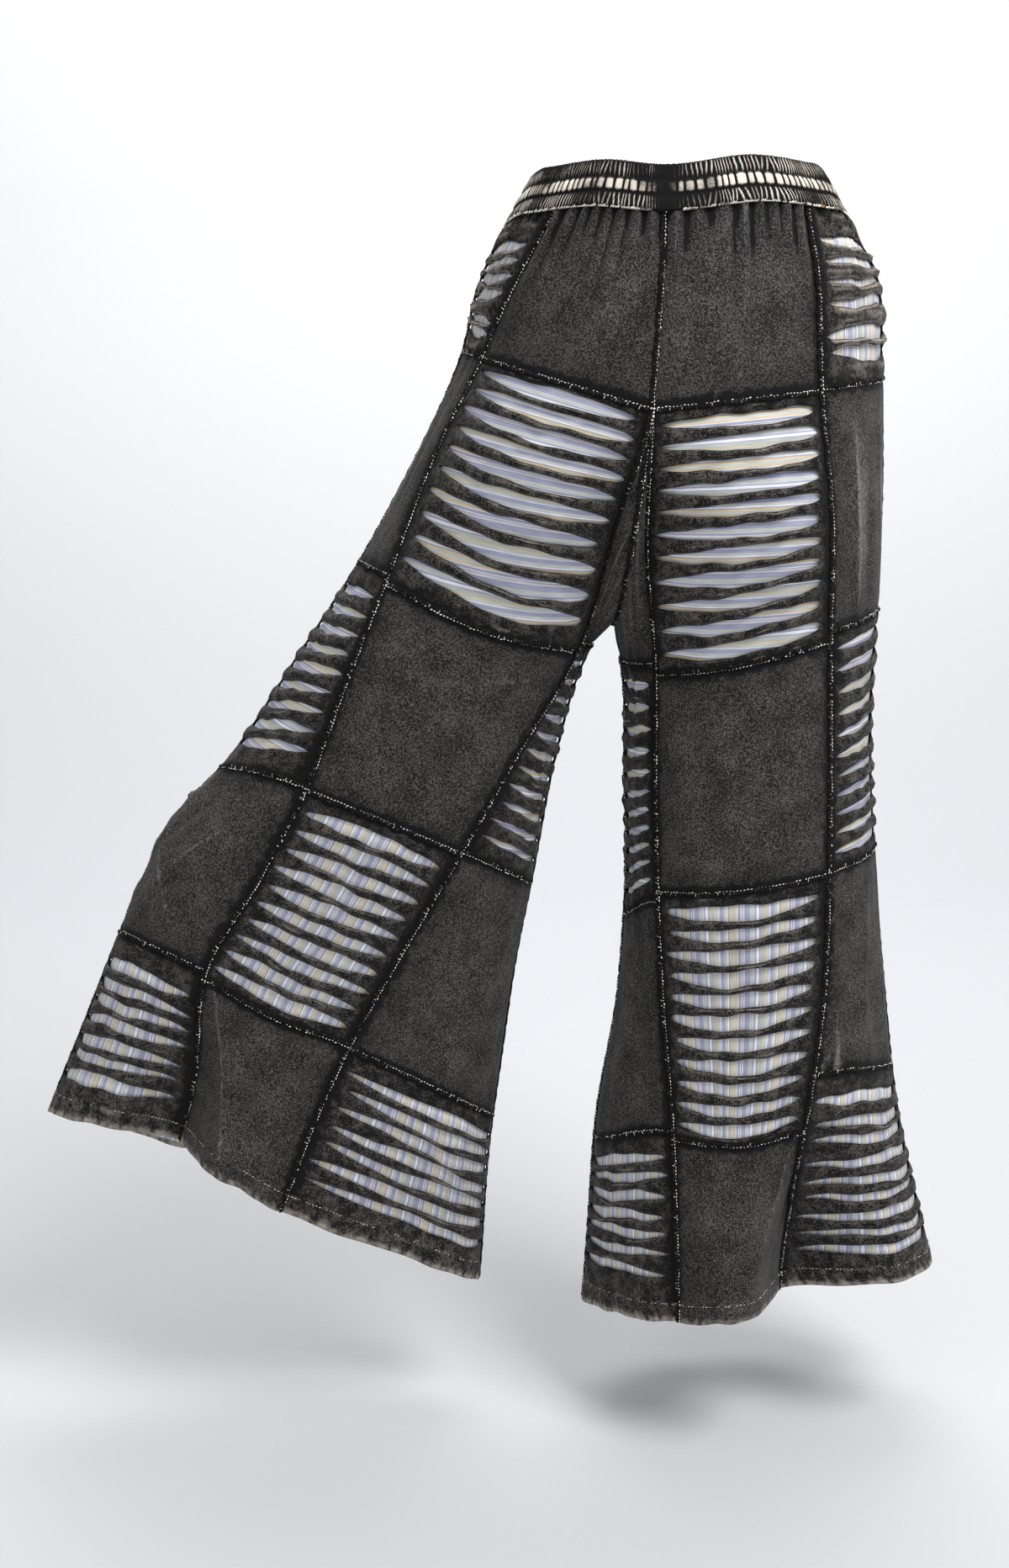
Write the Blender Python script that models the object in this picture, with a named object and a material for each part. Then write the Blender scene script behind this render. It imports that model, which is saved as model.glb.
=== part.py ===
"""Patchwork palazzo pants, worn: two flared legs of plain and slashed patches below a shirred waistband.

The frame is the waist: +Z up, +X to the wearer's right, +Y to the wearer's front. Tables are in
millimetres and the model is in metres. Every patch is cut from one smooth surface for each leg. The
surface runs through sections across the leg, and each patch takes the part between two seams and
between two rows. Walls go inwards from that surface.
"""

import math

import bmesh
import bpy
from mathutils import Vector

MM = 0.001

# Cloth walls, measured inwards from the outside of the garment
PLAIN_WALL = 1.6
TOP_WALL = 1.2
LINING_WALL = 1.0
LINING_DEPTH = 3.3
LINING_DEPTH_AT_SEAM = 1.5
LINING_INSET = 0.35
SEAM_GAP = 0.35
HEM_LIFT = 0.8
LINING_SHORT = 3.0

# The sections of each leg. centre is the middle of the section and half its half width. Above the
# fork the section is half of the hips, so its centre is the seat seam. tilt lifts the outer end,
# back and front are its depths, rise lifts its back. seam_a and seam_b are where the seams towards
# the inseam and towards the side cross it, counted outwards from its centre.
SECTION_COLUMNS = (
    "centre_x", "centre_z", "half", "tilt", "back", "front", "rise", "seam_a", "seam_b",
)
SECTIONS = {
    "right": (
        (-14, -24, 165, 0.0, 112, 102, 0, 0, 120),
        (-16, -84, 193, 2.0, 121, 106, 0, 0, 129),
        (-22, -176, 207, 5.5, 126, 108, 0, 0, 141),
        (54, -267, 134, 6.0, 124, 101, 0, -77, 74),
        (75, -373, 115, 12.0, 100, 88, 0, -88, 60),
        (77, -484, 111, 11.0, 95, 88, 0, -87, 62),
        (82, -581, 113, 8.5, 93, 88, 0, -88, 59),
        (85, -690, 121, 7.0, 96, 90, 0, -85, 54),
        (84, -800, 137, 5.0, 102, 95, 0, -75, 42),
        (90, -898, 149, 5.5, 106, 100, 6, -76, 34),
        (96, -989, 163, 7.5, 108, 104, 14, -79, 24),
    ),
    "left": (
        (-14, -24, 124, 0.0, 112, 102, 0, 0, 88),
        (-16, -84, 145, 3.0, 121, 106, 0, 0, 116),
        (-22, -176, 158, 16.0, 126, 108, 0, 0, 141),
        (-100, -247, 117, 17.0, 123, 101, 3, -57, 102),
        (-163, -347, 108, 20.0, 98, 88, 8, -95, 78),
        (-210, -445, 124, 21.6, 90, 84, 18, -90, 68),
        (-251, -547, 147, 23.0, 82, 78, 26, -80, 64),
        (-295, -636, 176, 23.5, 74, 72, 27, -75, 66),
        (-319, -730, 189, 26.0, 68, 68, 25, -50, 94),
        (-341, -818, 202, 24.5, 68, 68, 18, -31, 89),
        (-364, -907, 216, 22.6, 68, 70, 10, -19, 96),
    ),
}
FORK = 2
FIRST_CLOSED = 4
HEM_SECTION = 10

# Folds of the flare. around is the place round the leg in columns, from the inseam at 0 by the
# back to the side at 3 and on to the front. spread is half the fold's width in columns, out is how
# far it stands out of the smooth surface, and it grows between two sections.
FOLD_COLUMNS = ("around", "spread", "out", "starts", "full")
FOLDS = {
    "right": (
        (2.05, 0.46, -62, 7.6, 10.0),
        (1.35, 0.55, 9, 8.0, 10.0),
        (2.75, 0.45, 8, 8.0, 10.0),
        (3.72, 0.42, -22, 7.8, 10.0),
        (4.55, 0.40, -14, 8.2, 10.0),
        (0.45, 0.40, -7, 8.4, 10.0),
    ),
    "left": (
        (2.0, 0.40, -52, 8.0, 10.0),
        (1.45, 0.35, 7, 8.4, 10.0),
        (2.60, 0.35, 5, 8.0, 10.0),
        (0.55, 0.35, -8, 8.6, 10.0),
        (3.85, 0.45, -20, 8.0, 10.0),
        (4.60, 0.40, -12, 8.2, 10.0),
    ),
}

# How far the waist lies above its own level round each leg, in millimetres, and how far the hem is
# drawn down, in sections: pairs of a place round the leg and a value there
WAIST_RISE = {
    "right": ((1, 0), (1.65, 8.5), (2.3, 5), (3, -7), (4, -6), (5, -4)),
    "left": ((1, 0), (1.6, 4.5), (2.3, 1.5), (3, -6.5), (4, -6), (5, -4)),
}
HEM_DROP = {
    "right": ((-1, 0), (1.9, 0), (2.4, -0.06), (2.9, -0.04), (3.3, 0), (5, 0)),
    "left": ((0, 0), (1, -0.12), (1.5, -0.22), (2, -0.25), (3, -0.03), (4, 0)),
}

# The rows of patches, as sections from top to bottom, and the columns they stand in, as places
# round the leg. A patch is slashed where its row and column add up to an even number.
ROWS = {"hip": (0, 2), "thigh": (2, 4), "knee": (4, 6), "calf": (6, 8), "hem": (8, 10)}
COLUMNS = {"inseam": (-1, 1), "back": (1, 2), "side": (2, 4), "front": (4, 5)}
WRAPS = ("inseam", "side")
FLAT_ROWS = ("hip", "calf")
FINE_LININGS = {
    ("back", "thigh"): [0.0, 0.14, 0.28, 0.44, 0.62, 0.80],
    ("front", "thigh"): [0.0, 0.14, 0.28, 0.44, 0.62, 0.80],
    ("side", "hem"): [0.0, 0.13, 0.26, 0.40, 0.56, 0.76],
}
SLASHED = {
    "inseam": ("knee", "hem"),
    "back": ("thigh", "calf"),
    "side": ("hip", "knee", "hem"),
    "front": ("thigh", "calf"),
}

# The sections at which the side edges of the patches bend, and those where the hem is turned up
EDGE_STOPS = (
    (0.5, 1.2, 2.2, 2.6, 3.1, 3.6, 4.1, 4.5, 5.0, 5.5, 6.0, 6.5, 7.0, 7.5, 8.0, 8.1, 8.5, 9.0, 9.4)
)
HEM_STARTS = [9.765, 9.78]

# Where a row's line leaves its section, in sections, at the edges of a column
LINE_SHIFT = {
    ("right", "side", 8): (-0.42, -0.20, -0.42),
    ("right", "inseam", 6): (0.10, 0.32, 0.10),
    ("right", "inseam", 8): (0.0, 0.30, 0.0),
    ("right", "back", 4): (0.10, 0.12, 0.10),
    ("left", "back", 4): (0.10, 0.18, 0.10),
    ("right", "back", 8): (0.10, 0.14, 0.10),
    ("left", "back", 8): (0.10, 0.17, 0.10),
    ("left", "inseam", 8): (0.10, 0.13, 0.10),
    ("left", "side", 6): (0.0, 0.10, 0.0),
}

# The cuts of each slashed patch: how many, their opening at the middle, the plain cloth left above
# and below them, and how far their lower edge sags at the middle
CUT_COLUMNS = ("count", "opening", "above", "below", "sag")
CUTS = {
    ("right", "back", "thigh"): (11, 11.6, 7, 8, 1.5),
    ("right", "back", "calf"): (11, 11.8, 9, 8, 3.0),
    ("right", "side", "hip"): (6, 9.0, 22, 10, 0.0),
    ("right", "side", "knee"): (11, 7.4, 8, 8, 0.0),
    ("right", "side", "hem"): (9, 9.0, 12, 30, 1.0),
    ("right", "inseam", "knee"): (11, 6.8, 9, 12, 0.5),
    ("right", "inseam", "hem"): (7, 9.0, 14, 40, 0.5),
    ("left", "back", "thigh"): (10, 12.6, 4, 17, 2.0),
    ("left", "back", "calf"): (10, 11.4, 11, 8, 2.5),
    ("left", "side", "hip"): (6, 8.0, 20, 10, 0.0),
    ("left", "side", "knee"): (9, 8.6, 14, 22, 2.0),
    ("left", "side", "hem"): (7, 9.6, 20, 34, 1.5),
    ("left", "inseam", "knee"): (11, 6.4, 10, 14, 1.0),
    ("left", "inseam", "hem"): (7, 9.6, 12, 32, 2.5),
}
CUT_MARGIN = 7.5
MIDDLE_SHARES = {
    "all": (0.24, 0.78),
    "inseam": (0.50,),
    ("side", "hem"): (0.18, 0.44, 0.74),
}

# Gathers under the waistband
GATHERS = 10
GATHER_DEPTH = 2.6
GATHER_FADES_AT = 1.35

# The waistband: an elastic in a case that is sewn down in three channels
BAND_GAP = 0.8
BAND_HEIGHT = 36.0
BAND_CHANNELS = 3
BAND_LEAN = 0.855
BAND_PUFF = 1.9
BAND_GATHER = 0.8
BAND_GATHERS = 76
BAND_INNER_EVERY = 4
BAND_INSIDE = 2.6
BAND_OUT = 0.6
JOIN_HALF_WIDTH = 0.16

# The seat seam runs on under the crotch between the fork points
CROTCH_X = -44
CROTCH_Y = -4
CROTCH_Z = -366
FORK_X = -22

COLOURS = {
    "plain": ((0.040, 0.036, 0.033), 0.92),
    "slashed": ((0.014, 0.013, 0.014), 0.95),
    "lining": ((0.50, 0.52, 0.58), 0.85),
    "waistband": ((0.13, 0.12, 0.105), 0.95),
}


def spline(table, s, column):
    """A column of the section table at s, on a smooth curve through the rows."""
    last = len(table) - 1
    k = min(int(s), last - 1)
    t = s - k
    before, here, after, beyond = (
        table[min(max(k + step, 0), last)][column] for step in (-1, 0, 1, 2)
    )
    if k == 0:
        before = 2 * here - after
    if k == last - 1:
        beyond = 2 * after - here
    return 0.5 * (
        2 * here
        + (after - before) * t
        + (2 * before - 5 * here + 4 * after - beyond) * t * t
        + (3 * here - before - 3 * after + beyond) * t**3
    )


def smooth(t):
    t = min(max(t, 0.0), 1.0)
    return t * t * (3 - 2 * t)


def round_value(pairs, w):
    """The value at w from pairs of a place and a value, eased from each to the next."""
    if w <= pairs[0][0]:
        return pairs[0][1]
    for (start, low), (end, high) in zip(pairs, pairs[1:]):
        if w < end:
            return low + (high - low) * smooth((w - start) / (end - start))
    return pairs[-1][1]


def section_point(leg, w, s):
    """The smooth surface without folds, at place w round the leg and section s, in millimetres."""
    side = 1 if leg == "right" else -1
    row = {
        name: spline(SECTIONS[leg], s, i) for i, name in enumerate(SECTION_COLUMNS)
    }
    at_front = w > 3 or w < 0
    place = 6 - w if w > 3 else abs(w)
    angle_a = math.acos(row["seam_a"] / row["half"])
    angle_b = math.acos(row["seam_b"] / row["half"])
    if place <= 1:
        angle = math.pi + (angle_a - math.pi) * place
    elif place <= 2:
        angle = angle_a + (angle_b - angle_a) * (place - 1)
    else:
        angle = angle_b * (3 - place)
    across = row["half"] * math.cos(angle)
    depth = (row["front"] if at_front else -row["back"]) * math.sin(angle)
    tilt = math.radians(row["tilt"])
    lift = round_value(WAIST_RISE[leg], w) * max(1 - s, 0.0) ** 2
    return Vector(
        (
            row["centre_x"] + side * across * math.cos(tilt),
            depth,
            row["centre_z"]
            + across * math.sin(tilt)
            - row["rise"] * depth / row["back"]
            + lift,
        )
    )


def section_axis(leg, s):
    """The normal of the section's plane."""
    side = 1 if leg == "right" else -1
    tilt = math.radians(spline(SECTIONS[leg], s, SECTION_COLUMNS.index("tilt")))
    rise = spline(SECTIONS[leg], s, SECTION_COLUMNS.index("rise"))
    back = spline(SECTIONS[leg], s, SECTION_COLUMNS.index("back"))
    across = Vector((side * math.cos(tilt), 0, math.sin(tilt)))
    return across.cross(Vector((0, 1, -rise / back))).normalized()


def outward(point, leg, w, s, step=0.02):
    """The outward normal at w and s of a surface, kept in the plane of its section."""
    low, high = max(s - step, 0.0), min(s + step, float(HEM_SECTION))
    along = point(leg, w, high) - point(leg, w, low)
    round_leg = point(leg, w + step, s) - point(leg, w - step, s)
    normal = along.cross(round_leg)
    axis = section_axis(leg, s)
    normal = (normal - axis * normal.dot(axis)).normalized()
    return normal if leg == "right" else -normal


def fold_height(leg, w, s):
    """How far the folds stand out at w and s, in millimetres."""
    height = 0.0
    for values in FOLDS[leg]:
        fold = dict(zip(FOLD_COLUMNS, values))
        away = abs((w - fold["around"] + 3) % 6 - 3) / fold["spread"]
        if away < 1:
            grown = smooth((s - fold["starts"]) / (fold["full"] - fold["starts"]))
            height += fold["out"] * grown * math.cos(away * math.pi / 2) ** 2
    return height


def gather_height(w, s):
    """The soft pleats that the waistband's elastic draws into the cloth below it."""
    place = w if w < 3 else 6 - w
    if s >= GATHER_FADES_AT or not 1 < place < 2:
        return 0.0
    fade = (1 - s / GATHER_FADES_AT) ** 1.5
    return GATHER_DEPTH * fade * (math.cos(2 * math.pi * GATHERS * (place - 1)) - 1) / 2


def fold_point(leg, w, s):
    """The surface with its folds."""
    height = fold_height(leg, w, s)
    point = section_point(leg, w, s)
    return point + outward(section_point, leg, w, s) * height if height else point


def leg_point(leg, w, s):
    """The outside of the garment at w and s, with its folds and gathers, in millimetres."""
    height = gather_height(w, s)
    point = fold_point(leg, w, s)
    return point + outward(section_point, leg, w, s) * height if height else point


def fork_curve(share):
    """The crotch seam from the back fork at 0, under the crotch, to the front fork at 1."""
    back = -SECTIONS["right"][FORK][SECTION_COLUMNS.index("back")]
    front = SECTIONS["right"][FORK][SECTION_COLUMNS.index("front")]
    top = SECTIONS["right"][FORK][SECTION_COLUMNS.index("centre_z")]
    turn = math.pi * share
    down = math.sin(turn) ** 0.85
    reach = -back if share < 0.5 else front
    y = CROTCH_Y * down - reach * math.copysign(abs(math.cos(turn)) ** 1.15, math.cos(turn))
    return Vector((FORK_X + (CROTCH_X - FORK_X) * down, y, top + (CROTCH_Z - top) * down))


def fork_normal(share, step=0.01):
    """Outwards from the crotch seam, in the plane between the legs."""
    low, high = max(share - step, 0.0), min(share + step, 1.0)
    along = fork_curve(high) - fork_curve(low)
    return Vector((0, along.z, -along.y)).normalized()


def gusset_point(leg, across, down):
    """The inner thigh between the crotch seam above and its first closed section below."""
    side = 1 if leg == "right" else -1
    seam = fork_curve(across) + Vector((side * SEAM_GAP / 2, 0, 0))
    bottom = leg_point(leg, 1 - 2 * across, FIRST_CLOSED)
    point = seam.lerp(bottom, down)
    s = FORK + (FIRST_CLOSED - FORK) * down
    for share, w, end in ((1 - across, 1, 0.0), (across, -1, 1.0)):
        straight = fork_curve(end).lerp(leg_point(leg, w, FIRST_CLOSED), down)
        point = point + (leg_point(leg, w, s) - straight) * min(1.03 * share**5, 1.0)
    return point


def gusset_normal(leg, across, down, step=0.01):
    low, high = max(across - step, 0.0), min(across + step, 1.0)
    up, under = max(down - step, 0.0), min(down + step, 1.0)
    along = gusset_point(leg, across, under) - gusset_point(leg, across, up)
    round_leg = gusset_point(leg, high, down) - gusset_point(leg, low, down)
    normal = along.cross(round_leg).normalized()
    if leg == "right":
        normal = -normal
    normal = normal.lerp(fork_normal(across), (1 - down) ** 6)
    for share, w in ((1 - across, 1), (across, -1)):
        s = FORK + (FIRST_CLOSED - FORK) * down
        normal = normal.lerp(outward(fold_point, leg, w, s), min(1.05 * share**8, 1.0))
    bottom = outward(fold_point, leg, 1 - 2 * across, FIRST_CLOSED)
    return normal.lerp(bottom, min(1.05 * down**8, 1.0)).normalized()


def line_at(leg, column, section, share):
    """The row line of a column at share of the way across it, in sections."""
    first, middle, last = LINE_SHIFT.get((leg, column, section), (0.0, 0.0, 0.0))
    if share < 0.5:
        return section + first + (middle - first) * share * 2
    return section + middle + (last - middle) * (share * 2 - 1)


def patch_place(leg, column, row, u, v):
    """Place round the leg and section of a patch's own u (across) and v (down)."""
    w_first, w_last = COLUMNS[column]
    top, bottom = ROWS[row]
    s_top = line_at(leg, column, top, u)
    s_bottom = line_at(leg, column, bottom, u)
    w, s = w_first + (w_last - w_first) * u, s_top + (s_bottom - s_top) * v
    return w, s + round_value(HEM_DROP[leg], w) * max((s - 8) / 2, 0.0)


def patch_length(leg, column, row, u):
    """How long the patch is from top to bottom at u, in millimetres."""
    steps = 6
    points = [
        section_point(leg, *patch_place(leg, column, row, u, i / steps))
        for i in range(steps + 1)
    ]
    return sum((b - a).length for a, b in zip(points, points[1:]))


def patch_width(leg, column, row, v):
    """How wide the patch is at v, in millimetres."""
    steps = 12
    points = [
        section_point(leg, *patch_place(leg, column, row, i / steps, v))
        for i in range(steps + 1)
    ]
    return sum((b - a).length for a, b in zip(points, points[1:]))


def patch_vertex(leg, column, row, u, v, lift, sink, inset=SEAM_GAP / 2):
    """The outer and inner points of a patch's wall, in metres, kept inset from its edges."""
    gap_v = inset / patch_length(leg, column, row, u)
    gap_u = inset / patch_width(leg, column, row, v)
    v = min(max(v, gap_v), 1 - gap_v) if row != "hem" else max(v, gap_v)
    u = min(max(u, gap_u), 1 - gap_u)
    w, s = patch_place(leg, column, row, u, v)
    point, normal = leg_point(leg, w, s), outward(fold_point, leg, w, s)
    return (point + normal * lift) * MM, (point - normal * sink) * MM


def material(name):
    found = bpy.data.materials.get(name)
    if found:
        return found
    made = bpy.data.materials.new(name)
    made.use_nodes = True
    colour, roughness = COLOURS[name]
    shader = made.node_tree.nodes["Principled BSDF"]
    shader.inputs["Base Color"].default_value = (*colour, 1.0)
    shader.inputs["Roughness"].default_value = roughness
    shader.inputs["Metallic"].default_value = 0.0
    made.diffuse_color = (*colour, 1.0)
    return made


def wall(name, cells, vertex, finish):
    """A closed cloth wall from cells of keyed corners: outer faces, inner faces, and an edge
    round every border, those of the cuts among them."""
    shell = bmesh.new()
    outer, inner, used = {}, {}, {}
    for cell in cells:
        for key in cell:
            if key not in outer:
                out_point, in_point = vertex(key)
                outer[key] = shell.verts.new(out_point)
                inner[key] = shell.verts.new(in_point)
        for start, end in zip(cell, cell[1:] + cell[:1]):
            used[(start, end)] = used.get((start, end), 0) + 1
    for cell in cells:
        shell.faces.new([outer[key] for key in cell])
        shell.faces.new([inner[key] for key in reversed(cell)])
    for start, end in used:
        if (end, start) not in used:
            shell.faces.new([outer[end], outer[start], inner[start], inner[end]])
    bmesh.ops.triangulate(shell, faces=shell.faces[:])
    if shell.calc_volume(signed=True) < 0:
        bmesh.ops.reverse_faces(shell, faces=shell.faces[:])
    mesh = bpy.data.meshes.new(name)
    shell.to_mesh(mesh)
    shell.free()
    mesh.shade_smooth()
    mesh.set_sharp_from_angle(angle=math.radians(45))
    mesh.materials.append(material(finish))
    piece = bpy.data.objects.new(name, mesh)
    bpy.context.scene.collection.objects.link(piece)
    return piece


def split(cells, vertex, inward):
    """Cuts four-sided cells along the diagonal that lies further in, or further out."""
    parts = []
    for cell in cells:
        a, b, c, d = [vertex(key)[0] for key in cell]
        normal = (c - a).cross(d - b)
        across = (vertex(cell[0])[0] - vertex(cell[0])[1]).dot(normal)
        bulge = (a + c - b - d).dot(normal) * math.copysign(1.0, across)
        first, second, third, fourth = cell
        if (bulge > 0) == inward:
            parts += [(first, second, fourth), (second, third, fourth)]
        else:
            parts += [(first, second, third), (first, third, fourth)]
    return parts


def grid_cells(columns, rows):
    return [
        ((i, j), (i + 1, j), (i + 1, j + 1), (i, j + 1))
        for j in range(rows)
        for i in range(columns)
    ]


def stops(leg, column, row):
    """The places down a patch's side edges. Neighbours share them, so that seams stay closed."""
    top, bottom = (line_at(leg, column, section, 0.0) for section in ROWS[row])
    inside = [s for s in EDGE_STOPS if top + 0.05 < s < bottom - 0.05]
    if row == "hem":
        inside += HEM_STARTS
    return [0.0] + [(s - top) / (bottom - top) for s in inside] + [1.0]


def hem_shares(leg, column):
    """The two places down a hem patch between which the turned-up hem begins."""
    return stops(leg, column, "hem")[-3:-1]


def hem_lift(leg, column, row, v):
    return HEM_LIFT if row == "hem" and v > hem_shares(leg, column)[0] + 1e-6 else 0.0


def plain_patch(leg, column, row):
    across = {"side": 6, "inseam": 6}.get(column, 5)
    if row == "hip":
        across = 2 * GATHERS
    if row == "hem":
        across = 7
    downs = stops(leg, column, row)

    def vertex(key):
        u, v = key[0] / across, downs[key[1]]
        return patch_vertex(
            leg, column, row, u, v, hem_lift(leg, column, row, v), PLAIN_WALL
        )

    wall(f"{leg}_{column}_{row}_plain", grid_cells(across, len(downs) - 1), vertex, "plain")


def gusset_patch(leg):
    across, downs = 9, stops(leg, "inseam", "thigh")
    side = 1 if leg == "right" else -1

    def vertex(key):
        share, down = key[0] / across, downs[key[1]]
        down = min(max(down, 0.003), 1 - SEAM_GAP / 2 / 60)
        if 0 < key[0] < across:
            point, normal = gusset_point(leg, share, down), gusset_normal(leg, share, down)
        else:
            w, s = 1 - 2 * share, FORK + (FIRST_CLOSED - FORK) * down
            point = leg_point(leg, w, s) + Vector((side * SEAM_GAP / 2 * (1 - down), 0, 0))
            beside = gusset_point(leg, abs(share - 0.08), down)
            point = point + (beside - point).normalized() * (SEAM_GAP / 2)
            normal = outward(fold_point, leg, w, s)
        return point * MM, (point - normal * PLAIN_WALL) * MM

    wall(f"{leg}_inseam_thigh_plain", grid_cells(across, len(downs) - 1), vertex, "plain")


def cut_shares(leg, column, row):
    """The places across a slashed patch, and whether a cut is open there. The cuts of a patch that
    wraps round the leg stop short of the fold at its middle."""
    halves = 2 if column in WRAPS else 1
    margin = CUT_MARGIN / patch_width(leg, column, row, 0.5)
    shares = MIDDLE_SHARES.get((column, row), MIDDLE_SHARES.get(column, MIDDLE_SHARES["all"]))
    places = [(0.0, False)]
    for half in range(halves):
        start, end = half / halves, (half + 1) / halves
        first = start + (margin if half == 0 else margin / 2)
        last = end - (margin if half == halves - 1 else margin / 2)
        places.append((first, False))
        for share in shares if half == 0 else [1 - share for share in reversed(shares)]:
            places.append((first + (last - first) * share, True))
        places.append((last, False))
    places.append((1.0, False))
    return places


def slashed_patch(leg, column, row):
    """Cloth with cuts. Each cut is a lens between two lines of corners that meet at its tips."""
    like = "back" if column == "front" else column
    cut = dict(zip(CUT_COLUMNS, CUTS[leg, like, row]))
    places = cut_shares(leg, column, row)
    lengths = [patch_length(leg, column, row, u) for u, _ in places]
    downs = stops(leg, column, row)
    edge = len(places) - 1
    inner_places = range(1, edge)

    def line(kind, j):
        return [(kind if places[i][1] else "tip", j, i) for i in inner_places]

    def straight(v):
        return [("at", v, i) for i in inner_places]

    def share_down(key):
        kind, j, i = key
        if kind == "at":
            return j
        free = lengths[i] - cut["above"] - cut["below"]
        middle = cut["above"] + free * (j + 0.5) / cut["count"]
        if kind == "tip":
            return middle / lengths[i]
        half = cut["opening"] / 2
        return (middle + cut["sag"] + (half if kind == "lower" else -half)) / lengths[i]

    hems = hem_shares(leg, column) if row == "hem" else []
    above = [straight(0.0)] + [line("lower", j) for j in range(cut["count"])]
    below = [line("upper", j) for j in range(cut["count"])]
    above += [straight(v) for v in hems]
    below += [straight(v) for v in hems + [1.0]]
    cells = []
    for upper, lower in zip(above, below):
        for i in range(len(upper) - 1):
            cell = [upper[i], upper[i + 1], lower[i + 1], lower[i]]
            if column in WRAPS and i == len(upper) // 2 - 1:
                if lower is below[-1]:
                    cell.insert(3, ("at", 1.0, "middle"))
                if upper is above[0]:
                    cell.insert(1, ("at", 0.0, "middle"))
            cells.append(cell)
    for end, border in ((0, 0), (-1, edge)):
        spine = [above[0][end]] + [lower[end] for lower in below]
        heights = [share_down(key) for key in spine]
        nearest = [min(range(len(spine)), key=lambda r: abs(heights[r] - v)) for v in downs]
        for k in range(len(downs) - 1):
            run = spine[nearest[k] : nearest[k + 1] + 1]
            sides = [("at", downs[k], border), ("at", downs[k + 1], border)]
            cell = [sides[0], *run, sides[1]]
            cells.append(cell if end == 0 else cell[::-1])

    def vertex(key):
        u = 0.5 if key[2] == "middle" else places[key[2]][0]
        v = share_down(key)
        return patch_vertex(leg, column, row, u, v, hem_lift(leg, column, row, v), TOP_WALL)

    wall(f"{leg}_{column}_{row}_slashed", cells, vertex, "slashed")


def lining_patch(leg, column, row):
    """The striped cloth behind a slashed patch, sewn in at its seams."""
    places = [u for u, _ in cut_shares(leg, column, row)]
    if (column, row) not in FINE_LININGS:
        del places[-2], places[1]
        if column in WRAPS:
            half = len(places) // 2
            places[half - 1 : half + 1] = [0.5]
    downs = FINE_LININGS.get((column, row), stops(leg, column, row)[:-1])
    short = LINING_SHORT / patch_length(leg, column, row, 0.5)
    if row == "hem":
        downs = [v for v in downs if v < 0.9] + [1 - short]
    else:
        downs = downs + [1.0]

    def vertex(key):
        u, v = places[key[0]], downs[key[1]]
        sewn = u in (0.0, 1.0) or key[1] in (0, len(downs) - 1)
        depth = LINING_DEPTH_AT_SEAM if sewn and row in FLAT_ROWS else LINING_DEPTH
        walls = (-depth, depth + LINING_WALL, LINING_INSET)
        return patch_vertex(leg, column, row, u, v, *walls)

    cells = split(grid_cells(len(places) - 1, len(downs) - 1), vertex, True)
    wall(f"{leg}_{column}_{row}_lining", cells, vertex, "lining")


def waistband():
    """One closed ring for the elastic's case, gathered, with three sewn channels."""
    levels = []
    for channel in range(BAND_CHANNELS):
        levels += [(channel / BAND_CHANNELS, 0.0), ((channel + 0.5) / BAND_CHANNELS, 1.0)]
    levels.append((1.0, 0.0))
    per_leg = BAND_GATHERS
    ring = [("right", 1 + 4 * i / per_leg, i) for i in range(per_leg)]
    ring += [("left", 5 - 4 * i / per_leg, per_leg + i) for i in range(per_leg)]

    def point(leg, w, level, out):
        base = section_point(leg, w, 0.0)
        normal = outward(section_point, leg, w, 0.0)
        normal.z = 0.0
        lean = 1 + (BAND_LEAN - 1) * level
        spot = base + normal.normalized() * (out + BAND_OUT)
        height = base.z + BAND_GAP + BAND_HEIGHT * level
        return Vector((spot.x * lean, spot.y * lean, height)) * MM

    shell = bmesh.new()
    outer, inner = [], []
    for leg, w, place in ring:
        plain = min(abs(w - 1) / JOIN_HALF_WIDTH, 1.0)
        gather = BAND_GATHER * plain * (1 if place % 2 else -1)
        outer.append(
            [
                shell.verts.new(point(leg, w, level, BAND_PUFF * puff + gather))
                for level, puff in levels
            ]
        )
        corners = [point(leg, w, level, -BAND_INSIDE) for level in (0.0, 1.0)]
        kept = place % BAND_INNER_EVERY == 0
        inner.append([shell.verts.new(corner) for corner in corners] if kept else None)
    count = len(ring)
    for i in range(count):
        nxt = (i + 1) % count
        for j in range(len(levels) - 1):
            shell.faces.new([outer[i][j], outer[nxt][j], outer[nxt][j + 1], outer[i][j + 1]])
    for i in range(0, count, BAND_INNER_EVERY):
        end = (i + BAND_INNER_EVERY) % count
        run = [outer[(i + k) % count] for k in range(BAND_INNER_EVERY + 1)]
        shell.faces.new([inner[end][0], inner[i][0], inner[i][1], inner[end][1]])
        shell.faces.new([points[-1] for points in run] + [inner[end][1], inner[i][1]])
        shell.faces.new([points[0] for points in reversed(run)] + [inner[i][0], inner[end][0]])
    bmesh.ops.triangulate(shell, faces=shell.faces[:])
    if shell.calc_volume(signed=True) < 0:
        bmesh.ops.reverse_faces(shell, faces=shell.faces[:])
    mesh = bpy.data.meshes.new("waistband")
    shell.to_mesh(mesh)
    shell.free()
    mesh.shade_smooth()
    mesh.materials.append(material("waistband"))
    bpy.context.scene.collection.objects.link(bpy.data.objects.new("waistband", mesh))


for old in list(bpy.data.objects):
    bpy.data.objects.remove(old)

waistband()
for leg_name in ("right", "left"):
    gusset_patch(leg_name)
    for column_name in COLUMNS:
        for row_name in ROWS:
            if column_name == "inseam" and row_name in ("hip", "thigh"):
                continue
            if row_name in SLASHED[column_name]:
                slashed_patch(leg_name, column_name, row_name)
                lining_patch(leg_name, column_name, row_name)
            else:
                plain_patch(leg_name, column_name, row_name)
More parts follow.
